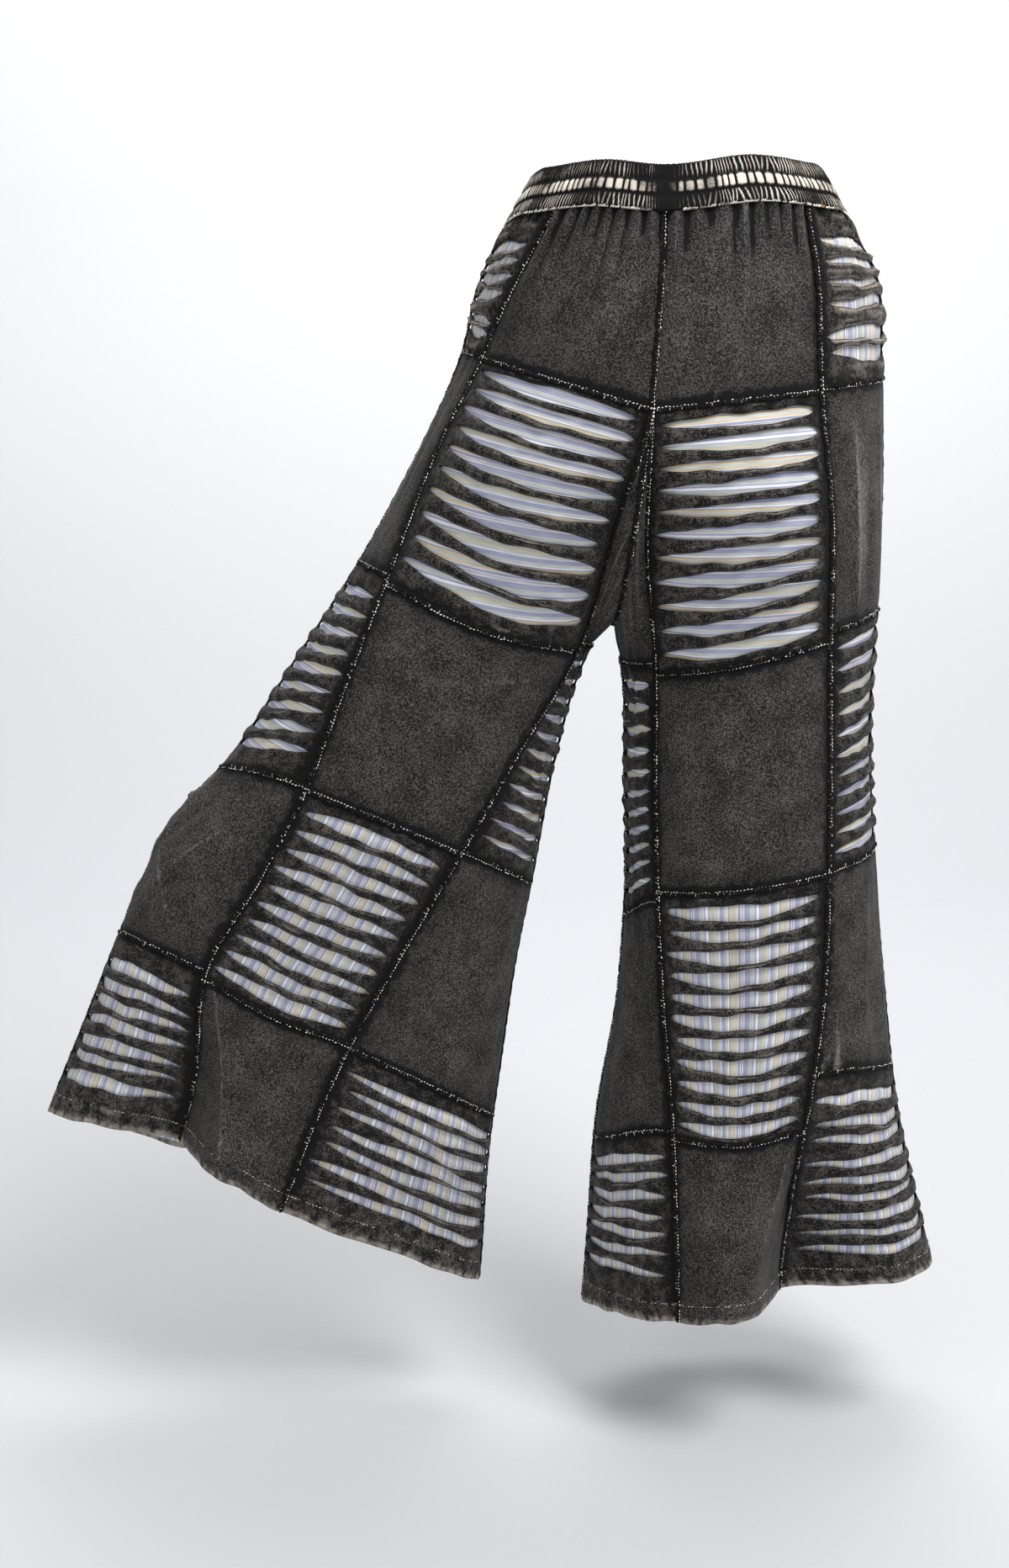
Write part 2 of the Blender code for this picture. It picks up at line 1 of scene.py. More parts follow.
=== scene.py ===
"""Patchwork palazzo pants as worn: two flared legs of plain and slashed patches over striped
lining, below a shirred waistband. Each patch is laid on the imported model's form as thin cloth,
then come the overlocked seams, the hems, the waistband, the floor and the light."""

import math

import bmesh
import bpy
import numpy as np
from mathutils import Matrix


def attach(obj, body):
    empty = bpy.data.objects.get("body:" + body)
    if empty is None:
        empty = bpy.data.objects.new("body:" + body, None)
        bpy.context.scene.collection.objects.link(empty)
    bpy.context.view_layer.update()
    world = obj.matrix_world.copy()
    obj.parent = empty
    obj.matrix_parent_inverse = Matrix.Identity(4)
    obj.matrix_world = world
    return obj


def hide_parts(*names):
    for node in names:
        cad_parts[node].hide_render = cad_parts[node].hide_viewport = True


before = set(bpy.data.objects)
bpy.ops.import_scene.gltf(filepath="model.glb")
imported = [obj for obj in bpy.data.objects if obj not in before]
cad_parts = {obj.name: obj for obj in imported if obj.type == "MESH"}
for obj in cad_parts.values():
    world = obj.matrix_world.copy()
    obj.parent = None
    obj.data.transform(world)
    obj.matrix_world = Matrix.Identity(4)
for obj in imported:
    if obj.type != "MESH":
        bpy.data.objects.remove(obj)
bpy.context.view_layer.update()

# ---- The view: straight on to the back of the garment, from 1.74 m away at waist height and
# tipped down by 12.6 degrees, on a lens that is close to normal.
def put(name, data):
    """A new object with this data, in the scene."""
    made = bpy.data.objects.new(name, data)
    bpy.context.scene.collection.objects.link(made)
    return made


lens = bpy.data.cameras.new("view from behind")
lens.sensor_width = 36.0
lens.lens = 45.7
view_from_behind = put("view from behind", lens)
view_from_behind.location = (-0.13917, -1.74, -0.12212)
view_from_behind.rotation_euler = (math.radians(90 - 12.6), 0.0, 0.0)
bpy.context.scene.camera = view_from_behind

# ---- The form of the legs: sections across each leg from the waist at 0 by the fork at 2 to the
# hem at 10, in millimetres, as the pattern's solids have them. A place round the leg is 0 at the
# inseam, 1 and 2 at the back seams, 3 at the side, 4 and 5 at the front seams.
MM = 0.001
SECTION_COLUMNS = ("x", "z", "half", "tilt", "back", "front", "rise", "seam_a", "seam_b")
SECTIONS = {
    "right": (
        (-14, -24, 165, 0.0, 112, 102, 0, 0, 120),
        (-16, -84, 193, 2.0, 121, 106, 0, 0, 129),
        (-22, -176, 207, 5.5, 126, 108, 0, 0, 141),
        (54, -267, 134, 6.0, 124, 101, 0, -77, 74),
        (75, -373, 115, 12.0, 100, 88, 0, -88, 60),
        (77, -484, 111, 11.0, 95, 88, 0, -87, 62),
        (82, -581, 113, 8.5, 93, 88, 0, -88, 59),
        (85, -690, 121, 7.0, 96, 90, 0, -85, 54),
        (84, -800, 137, 5.0, 102, 95, 0, -75, 42),
        (90, -898, 149, 5.5, 106, 100, 6, -76, 34),
        (96, -989, 163, 7.5, 108, 104, 14, -79, 24),
    ),
    "left": (
        (-14, -24, 124, 0.0, 112, 102, 0, 0, 88),
        (-16, -84, 145, 3.0, 121, 106, 0, 0, 116),
        (-22, -176, 158, 16.0, 126, 108, 0, 0, 141),
        (-100, -247, 117, 17.0, 123, 101, 3, -57, 102),
        (-163, -347, 108, 20.0, 98, 88, 8, -95, 78),
        (-210, -445, 124, 21.6, 90, 84, 18, -90, 68),
        (-251, -547, 147, 23.0, 82, 78, 26, -80, 64),
        (-295, -636, 176, 23.5, 74, 72, 27, -75, 66),
        (-319, -730, 189, 26.0, 68, 68, 25, -50, 94),
        (-341, -818, 202, 24.5, 68, 68, 18, -31, 89),
        (-364, -907, 216, 22.6, 68, 70, 10, -19, 96),
    ),
}
# How far the waist lies above its own level round each leg, in millimetres, and how far the hem is
# drawn down, in sections: pairs of a place round the leg and a value there
WAIST_RISE = {
    "right": ((1, 0), (1.65, 8.5), (2.3, 5), (3, -7), (4, -6), (5, -4)),
    "left": ((1, 0), (1.6, 4.5), (2.3, 1.5), (3, -6.5), (4, -6), (5, -4)),
}
HEM_DROP = {
    "right": ((-1, 0), (1.9, 0), (2.4, -0.06), (2.9, -0.04), (3.3, 0), (5, 0)),
    "left": ((0, 0), (1, -0.12), (1.5, -0.22), (2, -0.25), (3, -0.03), (4, 0)),
}
# The deep folds of the flare: place, half width, how far out, and the sections it grows between
FOLDS = {
    "right": (
        (2.05, 0.46, -62, 7.6, 10.0),
        (1.35, 0.55, 9, 8.0, 10.0),
        (2.75, 0.45, 8, 8.0, 10.0),
        (3.72, 0.42, -22, 7.8, 10.0),
        (4.55, 0.40, -14, 8.2, 10.0),
        (0.45, 0.40, -7, 8.4, 10.0),
    ),
    "left": (
        (2.0, 0.40, -52, 8.0, 10.0),
        (1.45, 0.35, 7, 8.4, 10.0),
        (2.60, 0.35, 5, 8.0, 10.0),
        (0.55, 0.35, -8, 8.6, 10.0),
        (3.85, 0.45, -20, 8.0, 10.0),
        (4.60, 0.40, -12, 8.2, 10.0),
    ),
}


def measure(leg, s, name):
    """One size of the sections at s, on a smooth curve through the table."""
    column = np.array([row[SECTION_COLUMNS.index(name)] for row in SECTIONS[leg]], float)
    line = np.concatenate([[2 * column[0] - column[1]], column, [2 * column[-1] - column[-2]]])
    k = np.minimum(np.asarray(s).astype(int), len(column) - 2)
    t = s - k
    before, here, after, beyond = (line[k + step] for step in range(4))
    return 0.5 * (
        2 * here
        + (after - before) * t
        + (2 * before - 5 * here + 4 * after - beyond) * t * t
        + (3 * here - before - 3 * after + beyond) * t**3
    )


def ease(t):
    t = np.clip(t, 0.0, 1.0)
    return t * t * (3 - 2 * t)


def round_value(pairs, w):
    """The value at w from pairs of a place and a value, eased from each to the next."""
    value = np.full(np.shape(w), float(pairs[0][1]))
    for (start, low), (end, high) in zip(pairs, pairs[1:]):
        value = np.where(w > start, low + (high - low) * ease((w - start) / (end - start)), value)
    return value


def hem_drawn(leg, w, s):
    """Sections with the hem drawn up or down."""
    return s + round_value(HEM_DROP[leg], w) * np.maximum((s - 8) / 2, 0)


def bare_form(leg, w, s):
    """The smooth leg at places w round it and sections s."""
    x, z, half, tilt, back, front, rise, seam_a, seam_b = (
        measure(leg, s, name) for name in SECTION_COLUMNS
    )
    place = np.where(w > 3, 6 - w, np.abs(w))
    angle_a, angle_b = np.arccos(seam_a / half), np.arccos(seam_b / half)
    angle = np.where(
        place <= 1,
        math.pi + (angle_a - math.pi) * place,
        np.where(place <= 2, angle_a + (angle_b - angle_a) * (place - 1), angle_b * (3 - place)),
    )
    across = half * np.cos(angle)
    depth = np.where((w > 3) | (w < 0), front, -back) * np.sin(angle)
    tilt = np.radians(tilt)
    side = 1 if leg == "right" else -1
    lift = round_value(WAIST_RISE[leg], w) * np.maximum(1 - s, 0) ** 2
    return np.stack(
        [
            x + side * across * np.cos(tilt),
            depth,
            z + across * np.sin(tilt) - rise * depth / back + lift,
        ],
        -1,
    )


def unit(vectors):
    return vectors / np.maximum(np.linalg.norm(vectors, axis=-1, keepdims=True), 1e-12)


def facing(form, leg, w, s, step=0.02):
    """The direction out of the garment, kept in the plane of the section."""
    low, high = np.maximum(s - step, 0.0), np.minimum(s + step, 10.0)
    along = form(leg, w, high) - form(leg, w, low)
    normal = np.cross(along, form(leg, w + step, s) - form(leg, w - step, s))
    side = 1 if leg == "right" else -1
    tilt = np.radians(measure(leg, s, "tilt"))
    lie = -measure(leg, s, "rise") / measure(leg, s, "back")
    flat = np.zeros_like(tilt)
    axis = unit(
        np.cross(
            np.stack([side * np.cos(tilt), flat, np.sin(tilt)], -1),
            np.stack([flat, flat + 1, lie], -1),
        )
    )
    return side * unit(normal - axis * (normal * axis).sum(-1, keepdims=True))


def folded_form(leg, w, s):
    """The leg with the deep folds of its flare."""
    height = np.zeros_like(w)
    for around, spread, out, starts, full in FOLDS[leg]:
        away = np.abs((w - around + 3) % 6 - 3) / spread
        grown = ease((s - starts) / (full - starts))
        height += np.where(away < 1, out * grown * np.cos(away * math.pi / 2) ** 2, 0.0)
    return bare_form(leg, w, s) + facing(bare_form, leg, w, s) * height[..., None]


# ---- Gathers, creases and ripples: washed cotton jersey that hangs from an elastic waist. Fine
# gathers under the band run into wider ones; the creases below are soft and each differs.
# A crease is (place, section) at each end, its half width and its height in millimetres.
CREASES = {
    "right": (
        (2.12, 7.3, 1.55, 9.9, 5, 2.2), (2.2, 7.6, 1.75, 9.9, 4, -2.0), (2.1, 8.2, 1.3, 9.6, 5, 1.4),
        (2.05, 6.4, 2.25, 8.4, 5, 1.8), (2.3, 6.2, 2.6, 7.8, 6, -1.6), (2.5, 6.1, 2.35, 7.7, 4, 1.5),
        (2.8, 6.2, 2.7, 7.4, 5, 1.4), (2.25, 2.2, 2.3, 4.0, 5, 1.6), (2.45, 2.1, 2.42, 3.9, 6, -1.4),
        (2.62, 2.3, 2.7, 4.0, 5, 1.5), (2.85, 2.2, 2.8, 3.8, 6, -1.2), (1.1, 4.2, 1.5, 5.4, 7, -1.0),
        (1.85, 4.3, 1.7, 5.9, 8, 1.1), (1.3, 4.9, 1.15, 5.9, 6, 0.9), (1.6, 4.1, 1.35, 4.9, 6, 0.8),
        (0.35, 6.2, 0.6, 8.2, 5, 1.4), (0.7, 6.4, 0.5, 8.0, 5, -1.3), (0.85, 6.1, 0.8, 7.6, 4, 1.1),
        (1.2, 8.4, 1.3, 9.8, 7, 1.0), (1.5, 8.2, 1.45, 9.4, 7, -0.9), (1.2, 0.9, 1.12, 1.9, 7, -1.2),
        (1.5, 0.8, 1.45, 1.9, 9, 1.2), (1.8, 0.7, 1.9, 1.9, 8, -1.4), (1.66, 1.0, 1.7, 1.8, 6, 0.9),
        (4.2, 0.8, 4.1, 1.9, 8, -1.3), (4.5, 0.7, 4.55, 1.9, 9, 1.3), (4.8, 0.9, 4.88, 1.9, 7, -1.2),
        (3.6, 2.2, 3.5, 4.0, 6, 1.6), (3.3, 2.1, 3.25, 3.8, 6, -1.4), (3.75, 2.4, 3.8, 3.9, 5, 1.2),
        (4.2, 4.2, 4.5, 5.6, 8, 1.1), (4.8, 4.3, 4.6, 5.8, 7, -1.0), (3.6, 6.2, 3.4, 7.8, 6, 1.7),
        (3.85, 6.4, 3.7, 7.9, 5, -1.5), (4.3, 8.3, 4.4, 9.8, 7, 1.3), (4.75, 8.2, 4.6, 9.7, 6, -1.3),
        (-0.3, 6.2, -0.5, 8.1, 6, 1.3), (-0.7, 6.3, -0.65, 8.0, 5, -1.1),
    ),
    "left": (
        (2.02, 7.6, 1.5, 9.9, 5, 2.2), (2.1, 8.0, 1.7, 9.9, 4, -1.8), (1.25, 8.2, 1.62, 9.2, 4, 1.8),
        (1.45, 8.1, 1.7, 8.9, 4, -1.5), (1.15, 8.9, 1.45, 9.9, 5, 1.4), (1.85, 8.3, 1.95, 9.8, 5, 1.2),
        (2.15, 6.2, 2.6, 7.5, 6, 2.0), (2.4, 6.1, 2.8, 7.2, 5, -1.6), (2.7, 6.1, 2.9, 6.9, 5, 1.5),
        (2.2, 6.8, 2.45, 7.9, 5, 1.3), (2.6, 7.2, 2.4, 7.95, 4, 1.2), (2.2, 2.3, 2.25, 4.0, 5, 1.4),
        (2.5, 2.2, 2.45, 3.9, 6, -1.3), (2.75, 2.3, 2.8, 3.9, 5, 1.3), (1.05, 4.3, 1.4, 4.6, 4, 1.2),
        (1.05, 4.6, 1.35, 4.95, 4, -1.0), (1.85, 4.2, 1.6, 5.9, 9, 1.1), (1.3, 5.1, 1.6, 5.9, 7, -0.9),
        (0.3, 6.1, 0.5, 8.0, 6, 1.5), (0.55, 6.0, 0.72, 7.9, 5, -1.3), (0.8, 6.1, 0.9, 7.8, 5, 1.1),
        (0.15, 6.4, 0.2, 8.0, 5, -1.1), (1.15, 0.9, 1.1, 1.9, 7, 1.2), (1.45, 0.8, 1.5, 1.9, 8, -1.3),
        (1.75, 0.7, 1.9, 1.9, 8, 1.3), (4.2, 0.8, 4.1, 1.9, 8, 1.2), (4.55, 0.7, 4.5, 1.9, 9, -1.3),
        (4.85, 0.9, 4.9, 1.9, 7, 1.1), (3.6, 2.3, 3.55, 3.9, 6, 1.5), (3.3, 2.2, 3.3, 3.8, 6, -1.3),
        (4.3, 4.2, 4.6, 5.5, 8, 1.1), (4.8, 4.4, 4.7, 5.9, 7, -1.0), (3.6, 6.2, 3.2, 7.4, 6, 1.8),
        (3.8, 6.4, 3.5, 7.7, 5, -1.5), (4.35, 8.2, 4.5, 9.8, 7, 1.4), (4.7, 8.4, 4.65, 9.8, 6, -1.2),
        (-0.3, 6.2, -0.45, 8.0, 6, 1.4), (-0.65, 6.1, -0.75, 7.9, 5, -1.2),
        (3.0, 6.36, 3.0, 6.46, 28, 5.5), (3.0, 7.0, 3.0, 7.5, 36, -6.0), (2.95, 6.5, 2.2, 7.9, 5, 1.8),
    ),
}
# Broad streaks that the wash has bleached, in the same form, from 0 to 1 in place of a height
STREAKS = {
    "right": (
        (2.32, 2.1, 2.38, 4.0, 15, 0.46), (2.68, 2.5, 2.8, 3.9, 13, 0.42), (3.5, 2.1, 3.4, 3.5, 15, 0.44),
        (3.75, 2.2, 3.8, 3.4, 12, 0.4), (2.05, 7.4, 2.3, 7.9, 14, 0.3), (1.3, 5.2, 1.7, 5.8, 16, 0.24),
    ),
    "left": (
        (2.4, 2.2, 2.42, 3.9, 15, 0.42), (2.75, 2.3, 2.8, 3.9, 13, 0.42), (3.4, 2.2, 3.45, 3.8, 15, 0.45),
        (1.25, 9.0, 1.6, 9.6, 14, 0.22), (1.2, 4.4, 1.5, 4.8, 14, 0.24),
    ),
}
# About how wide a column is and how long a section, in millimetres
COLUMN_WIDE, SECTION_LONG = 115, 88
# Gathers to a full turn, their height in millimetres, and about how many sections they run down
FINE_GATHERS, FINE_HIGH, FINE_LONG = 66, 1.0, 0.6
WIDE_GATHERS, WIDE_HIGH, WIDE_LONG = 50, 3.0, 1.15
SHIFT = {"right": 0.0, "left": 1.7}  # so that the legs differ


def bell(away, wide=1.0):
    """1 at no distance, falling off to nothing past about twice wide."""
    return np.exp(-((away / wide) ** 2))


def angle(w):
    return 2 * math.pi * w / 6


def crease_height(leg, w, s, sharp=1.0, creases=CREASES):
    """How far the creases stand out."""
    height = np.zeros_like(w)
    for w0, s0, w1, s1, wide, high in creases[leg]:
        x, y = ((w - w0 + 3) % 6 - 3) * COLUMN_WIDE, (s - s0) * SECTION_LONG
        run_x, run_y = (w1 - w0) * COLUMN_WIDE, (s1 - s0) * SECTION_LONG
        t = np.clip((x * run_x + y * run_y) / (run_x**2 + run_y**2), 0.0, 1.0)
        away = np.hypot(x - t * run_x, y - t * run_y) / wide
        height += high * bell(sharp * away) * np.sin(math.pi * (0.08 + 0.84 * t)) ** 0.7
    return height


def crease_wear(leg, w, s):
    """Pale lines where a crease was rubbed, from 0 to 1."""
    return np.clip(crease_height(leg, w, s, 2.0) / 2, 0, 1) * (s > 0.5)


def gathers(leg, w, s):
    """The elastic's gathers below the band: fine ones that soon fade, and wider, longer ones."""
    turn, shift = angle(w), SHIFT[leg]
    fine = np.sin(FINE_GATHERS * turn + 1.6 * np.sin(7 * turn) + 0.9 * s)
    wide = np.sin(WIDE_GATHERS * turn + 1.5 * np.sin(7 * turn + shift) + 0.5 * s + shift)
    long = WIDE_LONG + 0.55 * np.sin(13 * turn + shift)
    height = FINE_HIGH * (fine - 0.3) * np.clip(1 - s / FINE_LONG, 0, 1) ** 1.2
    return height + WIDE_HIGH * (wide - 0.25) * np.clip(1 - s / long, 0, 1)


def hang_height(leg, w, s):
    """Creases, the gathers below the band, and the slow ripple of hanging jersey."""
    turn, shift = angle(w), SHIFT[leg]
    height = crease_height(leg, w, s)
    height += 0.7 * np.sin(11 * turn + 1.9 * s + shift) * np.sin(1.3 * s - 5 * turn + shift)
    height += 0.45 * np.sin(23 * turn - 2.7 * s + 2 * shift)
    return height + gathers(leg, w, s)


def cloth_at(leg, w, s, lift):
    """Points of the cloth's outside in metres and its outward direction, lift off the form."""
    w, s = np.asarray(w, float), np.asarray(s, float)
    out = facing(folded_form, leg, w, s)
    height = np.asarray(lift) + hang_height(leg, w, s)
    return (folded_form(leg, w, s) + out * height[..., None]) * MM, out


# ---- The pattern: five rows of patches in four columns. Side and inseam patches wrap round the
# leg and have a seam at their middle. Some rows start higher or lower than their neighbours.
ROWS = {"hip": (0, 2), "thigh": (2, 4), "knee": (4, 6), "calf": (6, 8), "hem": (8, 10)}
COLUMNS = {"inseam": (-1, 1), "back": (1, 2), "side": (2, 4), "front": (4, 5)}
SLASHED = {
    "inseam": ("knee", "hem"),
    "back": ("thigh", "calf"),
    "side": ("hip", "knee", "hem"),
    "front": ("thigh", "calf"),
}
LINE_SHIFT = {
    ("right", "back", 4): (0.10, 0.12, 0.10),
    ("left", "back", 4): (0.10, 0.18, 0.10),
    ("right", "back", 8): (0.10, 0.14, 0.10),
    ("left", "back", 8): (0.10, 0.17, 0.10),
    ("left", "inseam", 8): (0.10, 0.13, 0.10),
    ("right", "side", 8): (-0.42, -0.20, -0.42),
    ("right", "inseam", 6): (0.10, 0.32, 0.10),
    ("right", "inseam", 8): (0.0, 0.30, 0.0),
    ("left", "side", 6): (0.0, 0.10, 0.0),
}
HEM = 20.0  # the depth that the hem is turned up, in millimetres


def row_line(leg, column, section, u):
    """The seam between two rows at share u of the way across a column, in sections."""
    first, middle, last = LINE_SHIFT.get((leg, column, section), (0.0, 0.0, 0.0))
    bow = middle - (first + last) / 2
    return section + first + (last - first) * u + bow * np.sin(math.pi * u) ** 2


def patch_place(leg, column, row, u, v):
    w_first, w_last = COLUMNS[column]
    top, bottom = (row_line(leg, column, section, u) for section in ROWS[row])
    w = w_first + (w_last - w_first) * u
    return w, hem_drawn(leg, w, top + (bottom - top) * v)


def patch_sizes(leg, column, row, u):
    """A patch's length in millimetres at shares u across it, and its width halfway down."""
    grid_u, grid_v = np.meshgrid(u, np.linspace(0, 1, 9), indexing="ij")
    down = bare_form(leg, *patch_place(leg, column, row, grid_u, grid_v))
    lengths = np.linalg.norm(np.diff(down, axis=1), axis=-1).sum(1)
    line = np.linspace(0, 1, 25)
    over = bare_form(leg, *patch_place(leg, column, row, line, np.full(25, 0.5)))
    return lengths, np.linalg.norm(np.diff(over, axis=0), axis=-1).sum()


def seam_distance(column, row, u, v, width, lengths):
    """Millimetres to the nearest seam of a patch."""
    edges = [u * width, (1 - u) * width, v * lengths]
    if row == "hip" and column != "side":
        # the centre seam is pressed flat and open to the wash, and so is the top of the yoke
        edges[0 if column == "back" else 1] += 7
        edges[2] = edges[2] + 5
    if row != "hem":
        edges.append((1 - v) * lengths)
    if column in ("side", "inseam"):
        edges.append(np.abs(u - 0.5) * width)
    return np.maximum(np.min(np.broadcast_arrays(*edges), axis=0), 0.0)


def mark(mesh, name, values, kind="FLOAT"):
    """Keeps a number, or a direction, for each point of a mesh."""
    kept = mesh.attributes.new(name, kind, "POINT")
    field = "value" if kind == "FLOAT" else "vector"
    kept.data.foreach_set(field, np.asarray(values, np.float32).ravel())


def lay_flat(mesh, places):
    """The mesh's UV map, which is the cut of the cloth in metres, from a place for each point."""
    corners = np.empty(len(mesh.loops), np.int32)
    mesh.loops.foreach_get("vertex_index", corners)
    layer = mesh.uv_layers.new(name="cut")
    layer.data.foreach_set("uv", places[corners].astype(np.float32).ravel())


def cloth(name, leg, points, uv, marks, finish, breaks=()):
    """A sheet from a grid of points, rows down and columns across, with its own UV map and its
    marks. No cloth runs on from the rows in breaks to the next one, except where the two edges
    meet."""
    rows, columns = points.shape[:2]
    index = np.arange(rows * columns).reshape(rows, columns)
    whole = [row for row in range(rows - 1) if row not in breaks]
    index, below = index[whole], index[[row + 1 for row in whole]]
    corners = [index[:, :-1], below[:, :-1], below[:, 1:], index[:, 1:]]
    if leg == "left":
        corners.reverse()
    faces = np.stack([c.ravel() for c in corners], -1)
    mesh = bpy.data.meshes.new(name)
    mesh.from_pydata(points.reshape(-1, 3), [], faces.tolist())
    for label, values in marks.items():
        mark(mesh, label, np.broadcast_to(values, (rows, columns)))
    lay_flat(mesh, uv.reshape(-1, 2))
    if breaks:
        shell = bmesh.new()
        shell.from_mesh(mesh)
        bmesh.ops.remove_doubles(shell, verts=shell.verts[:], dist=0.00002)
        shell.to_mesh(mesh)
        shell.free()
    mesh.shade_smooth()
    mesh.materials.append(finish)
    return put(name, mesh)


def hex_colour(text):
    """An sRGB hex colour as linear light, with full alpha."""
    parts = [int(text[i : i + 2], 16) / 255 for i in (1, 3, 5)]
    return (*(c / 12.92 if c <= 0.04045 else ((c + 0.055) / 1.055) ** 2.4 for c in parts), 1.0)


def wire(tree, node, inputs):
    """Links a node's inputs to the sockets given, or sets them to the values given."""
    for name, value in inputs.items():
        if isinstance(value, bpy.types.NodeSocket):
            tree.links.new(value, node.inputs[name])
        else:
            node.inputs[name].default_value = value


def add(tree, kind, inputs=None, **settings):
    """One node, with its settings and inputs."""
    node = tree.nodes.new(kind)
    for name, value in settings.items():
        setattr(node, name, value)
    wire(tree, node, inputs or {})
    return node


def new_finish(name):
    """A material, with its node tree and its shader."""
    made = bpy.data.materials.new(name)
    made.use_nodes = True
    return made, made.node_tree, made.node_tree.nodes["Principled BSDF"]


def colour_stops(node, stops, interpolation="LINEAR"):
    """Puts a list of (place, hex colour) on a colour ramp."""
    ramp = node.color_ramp
    ramp.interpolation = interpolation
    while len(ramp.elements) > 1:
        ramp.elements.remove(ramp.elements[-1])
    ramp.elements[0].position, ramp.elements[0].color = stops[0][0], hex_colour(stops[0][1])
    for place, text in stops[1:]:
        ramp.elements.new(place).color = hex_colour(text)


# ---- Acid-washed cotton jersey: piece-dyed black, then bleached with pumice, which leaves a
# speckled charcoal face, blue-black cloth where the seams kept the bleach out, and pale lines
# where it was creased. Its speckle is about 1 mm, drawn at 1.4 mm so that it shows.
def washed_jersey(name, dark, middle, light, halo, halo_reach, mottle_scale, mottle):
    made, tree, shader = new_finish(name)
    place = add(tree, "ShaderNodeTexCoord").outputs["Object"]
    speckle, cloud, ragged, streak = (
        add(
            tree, "ShaderNodeTexNoise",
            {"Vector": place, "Scale": scale, "Detail": detail, "Roughness": rough},
        ).outputs["Fac"]
        for scale, detail, rough in (
            (740.0, 2.0, 0.8), (mottle_scale, 4.0, 0.6), (120.0, 4.0, 0.5), (250.0, 4.0, 0.75),
        )
    )
    cloud = add(
        tree, "ShaderNodeMath", {0: cloud, 1: mottle, 2: 0.12 - mottle / 2}, operation="MULTIPLY_ADD"
    ).outputs[0]
    tone = add(tree, "ShaderNodeMath", {0: cloud, 1: speckle}, operation="ADD").outputs[0]
    ground = add(tree, "ShaderNodeValToRGB", {"Fac": tone})
    colour_stops(ground, [(0.49, dark), (0.60, middle), (0.73, light)])
    seam = add(tree, "ShaderNodeAttribute", attribute_name="seam").outputs["Fac"]
    # the cloth is a little darker out to 26 mm from a seam; the valleys of the gathers are darkened the
    # same way, there partly as painted shade
    shade = add(
        tree, "ShaderNodeMapRange",
        {"Value": seam, "From Min": 4.0, "From Max": 26.0, "To Min": 0.66, "To Max": 1.06},
    ).outputs[0]
    ground = add(
        tree, "ShaderNodeVectorMath", {0: ground.outputs[0], "Scale": shade}, operation="SCALE"
    ).outputs[0]
    # beside the seam itself it is blue-black, with a ragged edge; so are the deepest valleys of the
    # gathers, there partly as painted shade
    reach = add(
        tree, "ShaderNodeMath", {0: ragged, 1: -1.6 * halo_reach, 2: seam}, operation="MULTIPLY_ADD"
    ).outputs[0]
    clear = add(
        tree, "ShaderNodeMapRange",
        {"Value": reach, "From Min": -0.35 * halo_reach, "From Max": 0.15 * halo_reach},
        interpolation_type="SMOOTHSTEP",
    ).outputs[0]
    # inputs 6 and 7 and output 2 of a Mix node are its colours
    shaded = add(
        tree, "ShaderNodeMix", {0: clear, 6: hex_colour(halo), 7: ground}, data_type="RGBA"
    ).outputs[2]
    # worn is wear, and on the ridges of the gathers and the strips' wrinkles it is partly painted
    # highlight
    worn = add(tree, "ShaderNodeAttribute", attribute_name="worn").outputs["Fac"]
    pale = add(tree, "ShaderNodeMath", {0: worn, 1: streak}, operation="MULTIPLY").outputs[0]
    pale = add(
        tree, "ShaderNodeMapRange", {"Value": pale, "From Min": 0.16, "From Max": 0.50}
    ).outputs[0]
    bleached = add(
        tree, "ShaderNodeMix", {0: pale, 6: shaded, 7: hex_colour("#a0968c")}, data_type="RGBA"
    ).outputs[2]
    height = add(
        tree, "ShaderNodeMath", {0: speckle, 1: 0.8, 2: streak}, operation="MULTIPLY_ADD"
    ).outputs[0]
    bump = add(tree, "ShaderNodeBump", {"Strength": 0.6, "Distance": 0.0006, "Height": height})
    wire(tree, shader, {
        "Base Color": bleached, "Normal": bump.outputs[0], "Roughness": 0.94,
        "Specular IOR Level": 0.15, "Sheen Weight": 0.06, "Sheen Roughness": 0.6,
    })
    return made


PLAIN_JERSEY = washed_jersey(
    "acid-washed cotton jersey", "#0d0c0c", "#21201f", "#5b5753", "#0b0b0f", 8.0, 34.0, 0.24
)
SLASHED_JERSEY = washed_jersey(
    "washed jersey with raw cuts", "#060606", "#0f0f0e", "#524d48", "#070709", 10.0, 105.0, 0.62
)


# ---- Plain patches: jersey cut to the pattern, 1 mm thick, overlocked to its neighbours. At the
# hem row the cloth is turned up twice over 20 mm and comes back inside.
def hem_rows(lengths):
    """The rows past the lower edge of a hem patch: over the fold and up inside, as shares of the
    length, with how far in they lie."""
    return [(1.0 + 0.4 / lengths, -1.2), (1.0, -2.4), (1.0 - HEM / lengths, -2.6)]


def hem_lift(row, v, lengths):
    if row != "hem":
        return 0.0
    up = (1 - v) * lengths
    return 1.0 * ease((HEM - up) / 1.5) - 0.7 * bell(up - HEM + 1.5, 1.6)


def hem_wear(w, up, most):
    """Wear of the turned-up hem: pale blotches along its fold, less at its stitches and between."""
    turn = angle(w)
    blotch = 0.5 + 0.3 * np.sin(73 * turn + 2 * np.sin(19 * turn)) + 0.3 * np.sin(131 * turn + up / 3)
    fold, stitch = bell(up, 4.5), bell(up - HEM, 1.8)
    between = (0.5 * stitch + 0.42 * ease((HEM - up) / 3)) * (1 - fold)
    return most * (1.5 * fold + between) * (0.4 + 0.8 * blotch)


def hem_wave(row, w, v):
    """How unevenly the lower edge was turned up, in sections."""
    if row != "hem":
        return 0.0
    turn = angle(w)
    return 0.007 * v**6 * (np.sin(17 * turn) + 0.7 * np.sin(29 * turn + 1.0)) - 0.008 * v**6


